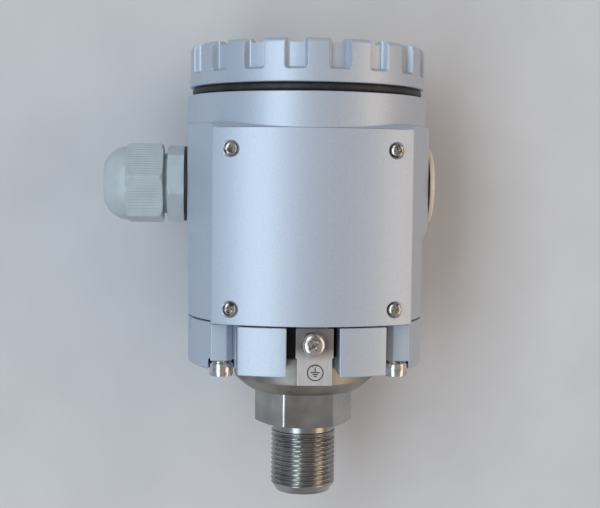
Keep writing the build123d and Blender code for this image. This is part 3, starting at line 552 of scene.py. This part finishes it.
bpy.ops.mesh.primitive_cylinder_add(
    vertices=6, radius=RING_SOCKET_R * MM, depth=2 * RING_SOCKET_H * MM
)
socket = bpy.context.object
socket.location.z = head_low * MM
bpy.ops.object.transform_apply(location=True)
cut_out(ring_screw, socket)
turns = (-RING_SCREW_ANGLE, RING_SCREW_ANGLE, 180 - RING_SCREW_ANGLE, 180 + RING_SCREW_ANGLE)
for i, turn in enumerate(turns):
    x = RING_SCREW_CIRCLE * math.sin(math.radians(turn))
    y = -RING_SCREW_CIRCLE * math.cos(math.radians(turn))
    screw = placed_copy(ring_screw, f"ring_screw_{i + 1}", shifted(x, y, 0))
    finish_piece(screw, bright_steel, "housing_group", "screw_steel", "lower_ring_screws")
bpy.data.objects.remove(ring_screw)
dress(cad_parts["lower_ring_washers"], fastener_steel)

# Process connector: turned from one stainless bar, with a milled hexagon, a threaded
# spigot and a bore for the pressure. Handling has left it a little stained.
SPIGOT_R, SPIGOT_L, SPIGOT_TIP_R, SPIGOT_TIP_L = 10.0, 21.8, 8.6, 2.6
SPIGOT_NECK_R, SPIGOT_NECK_L = 9.6, 2.7
SPIGOT_PITCH, SPIGOT_THREAD_DEPTH, SPIGOT_STEP = 1.5, 0.82, 0.15
HEX_FLATS, HEX_H, HEX_TURN, HEX_CROWN = 26.6, 10.6, 2.65, 0.25
HUB_R, HUB_RISE = 21.8, 3.8
FLANGE_R, FLANGE_Z, FLANGE_TOP = 27.0, 24.0, 31.5
REGISTER_R, REGISTER_TOP = 15.0, 38.0
SOCKET_R, SOCKET_Z = 10.5, 27.5
CELL_R, CELL_Z, BORE_R = 9.5, 19.0, 2.0
STEEL_GREY, STEEL_PALE = (0.30, 0.30, 0.295), (0.44, 0.435, 0.42)
# These are laid over the steel's own colour, and clean steel keeps it
CLEAN, HUB_GRIME, SHADE = (1, 1, 1), (0.78, 0.74, 0.68), (0.16, 0.16, 0.17)
SHADE_Z = 22.4


def off_flat(x, y, turn):
    """The angle from the middle of the nearest flat of a hexagon turned by so many degrees."""
    sector = math.pi / 3
    return (math.atan2(y, x) - math.radians(turn)) % sector - sector / 2


def to_hexagon(piece, flats, low, high, turn, crown=None):
    """Mills a turned stretch to a hexagon, with its corners crowned at the low end if asked."""
    for vertex in piece.data.vertices:
        x, y, z = vertex.co / MM
        radius = math.hypot(x, y)
        if not low - 0.001 <= z <= high + 0.001 or radius < flats / 2 - 0.001:
            continue
        off = off_flat(x, y, turn)
        limit = flats / 2 / math.cos(off)
        if crown:
            limit = min(limit, flats / 2 + (z - low) / crown)
        if limit < radius:
            vertex.co.x *= limit / radius
            vertex.co.y *= limit / radius


def height_of(material, low, high):
    """Goes from 0 to 1 between two heights on the piece, in millimetres."""
    nodes, links = material.node_tree.nodes, material.node_tree.links
    place = nodes.new("ShaderNodeTexCoord")
    split = nodes.new("ShaderNodeSeparateXYZ")
    rise = nodes.new("ShaderNodeMapRange")
    rise.inputs["From Min"].default_value = low * MM
    rise.inputs["From Max"].default_value = high * MM
    links.new(place.outputs["Object"], split.inputs["Vector"])
    links.new(split.outputs["Z"], rise.inputs["Value"])
    return rise.outputs["Result"]


stainless = make_material("turned_stainless", STEEL_GREY, 0.3, 1.0)
stains = tint(stainless, mottle(stainless, 0.12), STEEL_GREY, STEEL_PALE)
# The hub above the hexagon is left dull from the lathe
on_hub = height_of(stainless, HEX_H - 0.1, HEX_H + 0.1)
dull = tint(stainless, on_hub, CLEAN, HUB_GRIME, start=0, end=1, over=stains)
polish(stainless, on_hub, 0.25, 0.45)
# Painted shade blackens the flange deep in the ring's slot
flange_in_shade = height_of(stainless, SHADE_Z - 0.3, SHADE_Z + 0.3)
tint(stainless, flange_in_shade, CLEAN, SHADE, start=0, end=1, over=dull)
# The lathe has left fine lines round it
relief(stainless, mottle(stainless, 0.5, (0.4, 0.4, 9.0)), 0.006)

corner_r = HEX_FLATS / math.sqrt(3)
connector = turned(
    "threaded_connector",
    [
        (BORE_R, CELL_Z),
        (BORE_R, -SPIGOT_L + 0.4),
        (BORE_R + 0.4, -SPIGOT_L),
        (SPIGOT_TIP_R - 0.6, -SPIGOT_L),
        (SPIGOT_TIP_R - 0.15, -SPIGOT_L + 0.2),
        (SPIGOT_TIP_R, -SPIGOT_L + 0.7),
        *stepped((SPIGOT_R - 0.9, -SPIGOT_L + 1.3), (SPIGOT_R, -SPIGOT_L + SPIGOT_TIP_L), SPIGOT_STEP),
        *stepped(
            (SPIGOT_R, -SPIGOT_L + SPIGOT_TIP_L + SPIGOT_STEP),
            (SPIGOT_R, -SPIGOT_NECK_L - 0.1),
            SPIGOT_STEP,
        ),
        (SPIGOT_R, -SPIGOT_NECK_L),
        (SPIGOT_NECK_R, -SPIGOT_NECK_L + 0.3),
        (SPIGOT_NECK_R, 0),
        (HEX_FLATS / 2 - 0.05, 0),
        *stepped((corner_r, 0.0), (corner_r, 0.9), 0.1),
        (corner_r, HEX_H),
        (corner_r, HEX_H + 0.01),
        # The hub swells out over the hexagon like a bowl
        (corner_r + 1.2, HEX_H + 0.06),
        (corner_r + 1.5, HEX_H + 0.22),
        (corner_r + 2.7, HEX_H + 1.0),
        (corner_r + 4.0, HEX_H + 2.0),
        (corner_r + 5.3, HEX_H + 3.2),
        (HUB_R - 0.25, HEX_H + HUB_RISE + 0.15),
        (HUB_R, HEX_H + HUB_RISE + 1.1),
        (HUB_R, FLANGE_Z),
        (FLANGE_R, FLANGE_Z),
        (FLANGE_R, FLANGE_TOP),
        (REGISTER_R, FLANGE_TOP),
        (REGISTER_R, REGISTER_TOP),
        (SOCKET_R, REGISTER_TOP),
        (SOCKET_R, SOCKET_Z),
        (CELL_R, SOCKET_Z),
        (CELL_R, CELL_Z),
    ],
    sides=192,
)
spigot_low = -SPIGOT_L + SPIGOT_TIP_L - 0.4
cut_thread(
    connector, SPIGOT_R, spigot_low, -SPIGOT_NECK_L, SPIGOT_PITCH, SPIGOT_THREAD_DEPTH, runout=1.2
)
to_hexagon(connector, HEX_FLATS, 0, HEX_H, HEX_TURN, crown=HEX_CROWN)
finish_piece(connector, stainless, "housing_group", "turned_steel", "process_connector", angle=28)
for name in ("sensor_capsule", "sensor_retainer"):
    dress(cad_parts[name], stainless)

# Earthing bracket: a strip of satin steel sheet bent at its foot, held by one screw,
# with the earth sign sunk into its lower tab.
BRACKET_Y, BRACKET_EDGE = 35.9, 0.14
BEND_Z, TILT = 24.8, 8.0
SIGN_X, SIGN_Z, SIGN_R = 0.65, 20.85, 2.4
SIGN_LINE, SIGN_DEPTH = 0.34, 0.45
# Width, height and lower end of the sign's stem and of its three bars
SIGN_BARS = [
    (SIGN_LINE, 1.5, 0.05),
    (2.5, SIGN_LINE, -0.1),
    (1.6, SIGN_LINE, -0.65),
    (0.8, SIGN_LINE, -1.2),
]
BRACKET_STEEL, BRACKET_PALE = (0.60, 0.575, 0.56), (0.67, 0.65, 0.635)
BRACKET_PAINTED_SHADE, SIGN_GRIME_AND_SHADE = (0.34, 0.33, 0.32), (0.17, 0.16, 0.15)
bracket_steel = make_material("bracket_steel", BRACKET_STEEL, 0.42, 0.7)
satin = tint(bracket_steel, mottle(bracket_steel, 0.8, (1, 1, 0.25)), BRACKET_STEEL, BRACKET_PALE)
# Painted shade darkens it above the bend, in the ring's slot
shade_above_bend = height_of(bracket_steel, BEND_Z - 0.6, BEND_Z + 3.0)
tint(bracket_steel, shade_above_bend, CLEAN, BRACKET_PAINTED_SHADE, start=0, end=1, over=satin)
relief(bracket_steel, mottle(bracket_steel, 1.5, (1, 1, 0.2)), 0.01)
bracket = merged_copy("ground_bracket", "earthing_bracket")
round_edges(bracket, BRACKET_EDGE)
sign_y = -BRACKET_Y - (BEND_Z - SIGN_Z) * math.tan(math.radians(TILT))
sign_face = shifted(SIGN_X, sign_y, SIGN_Z) @ Matrix.Rotation(math.radians(90 - TILT), 4, "X")
ring_line = turned(
    "sign_ring",
    [
        (SIGN_R - SIGN_LINE, -SIGN_DEPTH),
        (SIGN_R, -SIGN_DEPTH),
        (SIGN_R, 1),
        (SIGN_R - SIGN_LINE, 1),
    ],
    sides=48,
)
ring_line.data.transform(sign_face)
cut_out(bracket, ring_line)
for width, height, low in SIGN_BARS:
    bar = block(width, height, -SIGN_DEPTH, 1)
    bar.data.transform(sign_face @ shifted(0, low + height / 2, 0))
    cut_out(bracket, bar)
finish_piece(bracket, bracket_steel, "housing_group", "bracket_steel", "ground_bracket", even=True)
# Grime and painted shade darken the sign's lines
sign_grime_and_shade = make_material("sign_grime_and_shade", SIGN_GRIME_AND_SHADE, 0.7)
relief(sign_grime_and_shade, mottle(sign_grime_and_shade, 3.0), 0.02)
bracket.data.materials.append(sign_grime_and_shade)
for face in bracket.data.polygons:
    spot = sign_face.inverted() @ face.center / MM
    if -SIGN_DEPTH - 0.05 < spot.z < -0.05 and math.hypot(spot.x, spot.y) < SIGN_R + 0.05:
        face.material_index = 1

# Ground screw: a larger pan head of steel over a spring washer and a plain one. Use has
# scuffed it, and rust has started on it in spots.
GROUND_Z, GROUND_SEAT_Y, GROUND_TURN = 29.0, 37.2, 35
GROUND_HEAD_R, GROUND_HEAD_H = 3.3, 2.2
GROUND_R, GROUND_L = 1.5, 6.5
SCUFFED, RUST = (0.66, 0.64, 0.61), (0.34, 0.28, 0.23)
scuffed_steel = make_material("scuffed_steel", SCUFFED, 0.22, 1.0)
tint(scuffed_steel, mottle(scuffed_steel, 0.55, detail=1.5), RUST, SCUFFED, 0.36, 0.5)
polish(scuffed_steel, mottle(scuffed_steel, 0.8), 0.14, 0.3)
relief(scuffed_steel, mottle(scuffed_steel, 1.4), 0.01)
ground_screw = pan_head_screw(
    "ground_screw_pan_head", GROUND_HEAD_R, GROUND_HEAD_H, GROUND_R, GROUND_L
)
spun = Matrix.Rotation(math.radians(GROUND_TURN), 4, "Z")
ground_screw.data.transform(shifted(0, -GROUND_SEAT_Y, GROUND_Z) @ TO_FRONT @ spun)
finish_piece(ground_screw, scuffed_steel, "housing_group", "screw_steel", "ground_screw")
for name in ("ground_washer", "ground_spring_washer"):
    dress(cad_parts[name], fastener_steel)

# Cable gland: moulded in pale nylon. The body screws into the housing, and its domed
# nut, finely ribbed on the flats, squeezes a rubber bush round the cable.
ENTRY_Z, GLAND_X = 74.0, 37.6
GLAND_FLATS, GLAND_TURN, GLAND_HEX_H = 21.2, 44.2, 5.1
GLAND_BORE_R, GLAND_NECK_R, GLAND_NECK_L = 7.0, 9.3, 9.5
GLAND_THREAD_R, GLAND_THREAD_L = 10.0, 10.2
NUT_X, NUT_L, NUT_R, NUT_BARREL = 43.9, 18.0, 12.95, 10.4
NUT_FLATS, NUT_TURN = 22.5, 20.5
NUT_MOUTH_R, NUT_LIP, NUT_BORE_R = 6.3, 2.2, GLAND_NECK_R + 0.05
NUT_DOME_IN_R, NUT_DOME_SIDE, NUT_DOME_STEPS = 3.0, 8.4, 18
RIB_PITCH, RIB_DEPTH = 0.92, 0.13
RIB_FIELD, RIB_LOW, RIB_FADE = 5.3, 1.2, 0.5
NYLON_GREY, NYLON_PALE = (0.45, 0.51, 0.53), (0.50, 0.56, 0.58)
NYLON_PITCH, NYLON_THREAD_DEPTH, NYLON_STEP = 1.5, 0.8, 0.17


def lay_to_left(piece, reach):
    """Turns an upright piece to point along -X, with its foot at that distance from the axis."""
    piece.data.transform(shifted(-reach, 0, ENTRY_Z) @ Matrix.Rotation(-math.pi / 2, 4, "Y"))


pale_nylon = make_material("pale_nylon", NYLON_GREY, 0.34)
nylon_shader = pale_nylon.node_tree.nodes["Principled BSDF"]
nylon_shader.inputs["Subsurface Weight"].default_value = 0.12
nylon_shader.inputs["Subsurface Scale"].default_value = 2 * MM
tint(pale_nylon, mottle(pale_nylon, 0.2), NYLON_GREY, NYLON_PALE)
relief(pale_nylon, mottle(pale_nylon, 1.5), 0.012)
gland_corner_r = GLAND_FLATS / math.sqrt(3)
gland_top = GLAND_HEX_H + GLAND_NECK_L
gland = turned(
    "gland_body_moulded",
    [
        (GLAND_BORE_R, -GLAND_THREAD_L),
        (GLAND_THREAD_R - 0.7, -GLAND_THREAD_L),
        *stepped((GLAND_THREAD_R, -GLAND_THREAD_L + 0.7), (GLAND_THREAD_R, -0.6), NYLON_STEP),
        (GLAND_THREAD_R, 0),
        (gland_corner_r, 0),
        (gland_corner_r, GLAND_HEX_H - 1.0),
        (gland_corner_r, GLAND_HEX_H - 0.7),
        (gland_corner_r - 0.35, GLAND_HEX_H - 0.35),
        (gland_corner_r - 0.9, GLAND_HEX_H - 0.1),
        (GLAND_FLATS / 2 - 0.2, GLAND_HEX_H),
        (GLAND_NECK_R, GLAND_HEX_H),
        *stepped((GLAND_NECK_R, GLAND_HEX_H + 0.3), (GLAND_NECK_R, gland_top - 0.6), NYLON_STEP),
        (GLAND_NECK_R - 0.6, gland_top),
        (GLAND_BORE_R, gland_top),
    ],
    sides=192,
)
for wall_r, low, high in (
    (GLAND_THREAD_R, -GLAND_THREAD_L + 0.6, -0.5),
    (GLAND_NECK_R, GLAND_HEX_H + 0.4, gland_top - 0.5),
):
    cut_thread(gland, wall_r, low, high, NYLON_PITCH, NYLON_THREAD_DEPTH, runout=0.8)
to_hexagon(gland, GLAND_FLATS, -0.01, GLAND_HEX_H, 180 - GLAND_TURN)
lay_to_left(gland, GLAND_X)
finish_piece(gland, pale_nylon, "housing_group", "gland_nylon", "gland_body", angle=30)

# The dome is a flattened arc that ends where it meets the mouth
dome_end = math.acos((NUT_MOUTH_R - NUT_DOME_IN_R) / NUT_DOME_SIDE)
dome_rise = (NUT_L - NUT_BARREL) / math.sin(dome_end)
dome = [
    (NUT_DOME_IN_R + NUT_DOME_SIDE * math.cos(t), NUT_BARREL + dome_rise * math.sin(t))
    for t in (dome_end * (0.08 + 0.92 * i / NUT_DOME_STEPS) for i in range(NUT_DOME_STEPS + 1))
]
nut = turned(
    "domed_gland_nut",
    [
        (NUT_BORE_R, 0),
        (NUT_R - 1.3, 0),
        (NUT_R - 0.9, 0.12),
        (NUT_R - 0.4, 0.45),
        *stepped((NUT_R, 0.9), (NUT_R, NUT_BARREL - 0.2), 0.5),
        (NUT_R - 0.25, NUT_BARREL + 0.15),
        (NUT_R - 0.75, NUT_BARREL + 0.42),
        *dome,
        (NUT_MOUTH_R, NUT_L - NUT_LIP + 0.4),
        (NUT_BORE_R, NUT_L - NUT_LIP - 1.4),
    ],
    sides=672,
)
for vertex in nut.data.vertices:
    x, y, z = vertex.co / MM
    radius = math.hypot(x, y)
    if radius < GLAND_NECK_R + 0.2:
        continue
    off = off_flat(x, y, 180 - NUT_TURN)
    limit = NUT_FLATS / 2 / math.cos(off)
    if limit < radius:
        # Grooves run along each flat and fade out before its edges
        tangent = NUT_FLATS / 2 * math.tan(off)
        across = ease((RIB_FIELD - abs(tangent)) / RIB_FADE)
        along = ease((z - RIB_LOW) / RIB_FADE) * ease((NUT_BARREL + 0.2 - z) / 0.6)
        wave = 0.5 - 0.5 * math.cos(2 * math.pi * tangent / RIB_PITCH)
        limit -= RIB_DEPTH * across * along * wave
        vertex.co.x *= limit / radius
        vertex.co.y *= limit / radius
lay_to_left(nut, NUT_X)
finish_piece(nut, pale_nylon, "nut", "gland_nylon", "gland_nut", angle=40)

# Blanking plug: the same nylon in a cream batch, with a low rounded head, a slot for a
# coin and a hollow threaded shank.
PLUG_X, PLUG_R, PLUG_H, PLUG_ROUND = 37.1, 11.8, 1.5, 0.9
PLUG_THREAD_R, PLUG_THREAD_L, PLUG_WALL = 10.0, 8.4, 2.2
PLUG_KEY_HALF, PLUG_KEY_W, PLUG_KEY_H = 6.0, 2.4, 0.9
CREAM, CREAM_DEEP = (0.80, 0.75, 0.62), (0.74, 0.68, 0.54)
cream_nylon = make_material("cream_nylon", CREAM, 0.36)
tint(cream_nylon, mottle(cream_nylon, 0.2), CREAM_DEEP, CREAM)
relief(cream_nylon, mottle(cream_nylon, 1.5), 0.012)
plug = turned(
    "blanking_plug",
    [
        (0, -0.6),
        (PLUG_THREAD_R - PLUG_WALL, -0.6),
        (PLUG_THREAD_R - PLUG_WALL, -PLUG_THREAD_L),
        (PLUG_THREAD_R - 0.7, -PLUG_THREAD_L),
        *stepped((PLUG_THREAD_R, -PLUG_THREAD_L + 0.7), (PLUG_THREAD_R, -0.5), NYLON_STEP),
        (PLUG_THREAD_R, 0),
        (PLUG_R - 0.15, 0),
        (PLUG_R, 0.15),
        *arc((PLUG_R - PLUG_ROUND, PLUG_H - PLUG_ROUND), PLUG_ROUND, 0, 90),
        (0, PLUG_H),
    ],
    sides=192,
)
plug_low = -PLUG_THREAD_L + 0.6
cut_thread(plug, PLUG_THREAD_R, plug_low, -0.4, NYLON_PITCH, NYLON_THREAD_DEPTH, runout=0.8)
cut_out(plug, block(2 * PLUG_KEY_HALF, PLUG_KEY_W, PLUG_H - PLUG_KEY_H, PLUG_H + 1, 0.95))
plug.data.transform(shifted(PLUG_X, 0, ENTRY_Z) @ Matrix.Rotation(math.pi / 2, 4, "Y"))
finish_piece(plug, cream_nylon, "plug", "plug_nylon", "blank_plug", angle=30)

# Electronics: a green board on steel pillars under a moulded cup, with a terminal
# block on it. The closed cover hides them.
BOARD_GREEN, TRACK_GREEN = (0.02, 0.11, 0.05), (0.04, 0.20, 0.09)
COMPONENT_BLACK, MODULE_GREY = (0.02, 0.02, 0.022), (0.045, 0.055, 0.07)
TERMINAL_GREEN, PIN_GOLD = (0.08, 0.20, 0.11), (0.75, 0.52, 0.20)
board_green = make_material("board_green", BOARD_GREEN, 0.3)
tint(board_green, mottle(board_green, 0.8, detail=0.0), BOARD_GREEN, TRACK_GREEN, 0.5, 0.52)
component_black = make_material("component_black", COMPONENT_BLACK, 0.45)
relief(component_black, mottle(component_black, 3.0), 0.03)
module_plastic = make_material("module_plastic", MODULE_GREY, 0.5)
relief(module_plastic, mottle(module_plastic, 2.0), 0.03)
terminal_plastic = make_material("terminal_plastic", TERMINAL_GREEN, 0.42)
relief(terminal_plastic, mottle(terminal_plastic, 2.0), 0.02)
gold_pins = make_material("gold_pins", PIN_GOLD, 0.25, 1.0)
polish(gold_pins, mottle(gold_pins, 1.0), 0.2, 0.4)
for name, material in {
    "circuit_board": board_green,
    "board_components": component_black,
    "module_cover": module_plastic,
    "terminal_block": terminal_plastic,
    "sensor_leads": gold_pins,
    "board_standoffs": bright_steel,
    "module_screws": fastener_steel,
    "terminal_screws": fastener_steel,
}.items():
    dress(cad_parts[name], material)

# Backdrop: a pale plain sheet close behind the instrument, which takes its soft shadow.
# Only the camera and reflections see it, and only from the front, so it hides nothing.
SHEET_PLACE, SHEET_SIDE = (0, 38.5 * MM, 0.05), 3.0
SHEET_GREY, SHEET_PALE = (0.585, 0.59, 0.605), (0.63, 0.635, 0.65)
bpy.ops.object.select_all(action="DESELECT")
bpy.ops.mesh.primitive_plane_add(size=SHEET_SIDE, location=SHEET_PLACE, rotation=(math.pi / 2, 0, 0))
sheet = bpy.context.object
sheet.name = "backdrop"
sheet_paper = make_material("pale_sheet", SHEET_PALE, 0.8)
tint(sheet_paper, mottle(sheet_paper, 0.03), SHEET_GREY, SHEET_PALE, 0.3, 0.7)
nodes, links = sheet_paper.node_tree.nodes, sheet_paper.node_tree.links
ray = nodes.new("ShaderNodeLightPath")
face = nodes.new("ShaderNodeNewGeometry")
seen = nodes.new("ShaderNodeMath")
seen.operation = "MAXIMUM"
shown = nodes.new("ShaderNodeMath")
shown.operation = "SUBTRACT"
shown.use_clamp = True
clear = nodes.new("ShaderNodeBsdfTransparent")
choice = nodes.new("ShaderNodeMixShader")
links.new(ray.outputs["Is Camera Ray"], seen.inputs[0])
links.new(ray.outputs["Is Glossy Ray"], seen.inputs[1])
links.new(seen.outputs[0], shown.inputs[0])
links.new(face.outputs["Backfacing"], shown.inputs[1])
links.new(shown.outputs[0], choice.inputs["Fac"])
links.new(clear.outputs[0], choice.inputs[1])
links.new(nodes["Principled BSDF"].outputs[0], choice.inputs[2])
links.new(choice.outputs[0], nodes["Material Output"].inputs["Surface"])
dress(sheet, sheet_paper)

# Light: a cool window close to the camera's left, a warm lamp on the right, and a dim
# room around them, bluish on the left and brown on the right.
AIM = Vector((0, 0, 0.06))
WINDOW_PLACE, WINDOW_SIZE, WINDOW_POWER = (-0.52, -0.92, 0.12), (0.42, 2.2), 9.6
WARM_PLACE, WARM_SIZE, WARM_POWER = (0.92, -0.50, 0.02), (0.50, 1.8), 4.4
WINDOW_COLOUR, WARM_COLOUR = (0.80, 0.92, 1.0), (1.0, 0.80, 0.62)
ROOM_LEFT, ROOM_RIGHT, ROOM_STRENGTH = (0.62, 0.74, 0.92), (0.86, 0.70, 0.56), 0.48


def lamp(name, place, size, power, colour):
    """A soft rectangular lamp that faces the instrument."""
    bpy.ops.object.light_add(type="AREA", location=place)
    light = bpy.context.object
    light.name = name
    light.data.shape = "RECTANGLE"
    light.data.size, light.data.size_y = size
    light.data.energy = power
    light.data.color = colour
    light.rotation_euler = (AIM - Vector(place)).to_track_quat("-Z", "Y").to_euler()


lamp("window", WINDOW_PLACE, WINDOW_SIZE, WINDOW_POWER, WINDOW_COLOUR)
lamp("warm_room", WARM_PLACE, WARM_SIZE, WARM_POWER, WARM_COLOUR)
world = bpy.data.worlds.new("room")
bpy.context.scene.world = world
world.use_nodes = True
nodes, links = world.node_tree.nodes, world.node_tree.links
direction = nodes.new("ShaderNodeTexCoord")
sides = nodes.new("ShaderNodeSeparateXYZ")
walls = nodes.new("ShaderNodeValToRGB")
walls.color_ramp.elements[0].position = 0.0
walls.color_ramp.elements[0].color = (*ROOM_LEFT, 1)
walls.color_ramp.elements[1].position = 1.0
walls.color_ramp.elements[1].color = (*ROOM_RIGHT, 1)
across = nodes.new("ShaderNodeMapRange")
across.inputs["From Min"].default_value = -1
across.inputs["From Max"].default_value = 1
links.new(direction.outputs["Generated"], sides.inputs["Vector"])
links.new(sides.outputs["X"], across.inputs["Value"])
links.new(across.outputs["Result"], walls.inputs["Fac"])
links.new(walls.outputs["Color"], nodes["Background"].inputs["Color"])
nodes["Background"].inputs["Strength"].default_value = ROOM_STRENGTH

# Camera: close in front, a little to the left and above, held by hand and so leaning a
# little. Its angles are in degrees.
LENS, SENSOR = 72.44, 36.0
CAMERA_PLACE = (-0.02741, -0.37570, 0.07578)
YAW, PITCH, ROLL = -3.933, 3.552, 0.654
yaw, pitch, roll = (math.radians(a) for a in (YAW, PITCH, ROLL))
forward = Vector(
    (-math.sin(yaw) * math.cos(pitch), math.cos(yaw) * math.cos(pitch), -math.sin(pitch))
)
level = forward.cross(Vector((0, 0, 1))).normalized()
above = level.cross(forward)
right = level * math.cos(roll) + above * math.sin(roll)
up = above * math.cos(roll) - level * math.sin(roll)
bpy.ops.object.camera_add()
camera = bpy.context.object
camera.data.lens = LENS
camera.data.sensor_width = SENSOR
camera.data.sensor_fit = "HORIZONTAL"
camera.data.clip_start = 0.01
camera.data.clip_end = 10
facing = Matrix((right, up, -forward)).transposed().to_4x4()
camera.matrix_world = Matrix.Translation(CAMERA_PLACE) @ facing
bpy.context.scene.camera = camera
bpy.context.scene.view_settings.view_transform = "Standard"
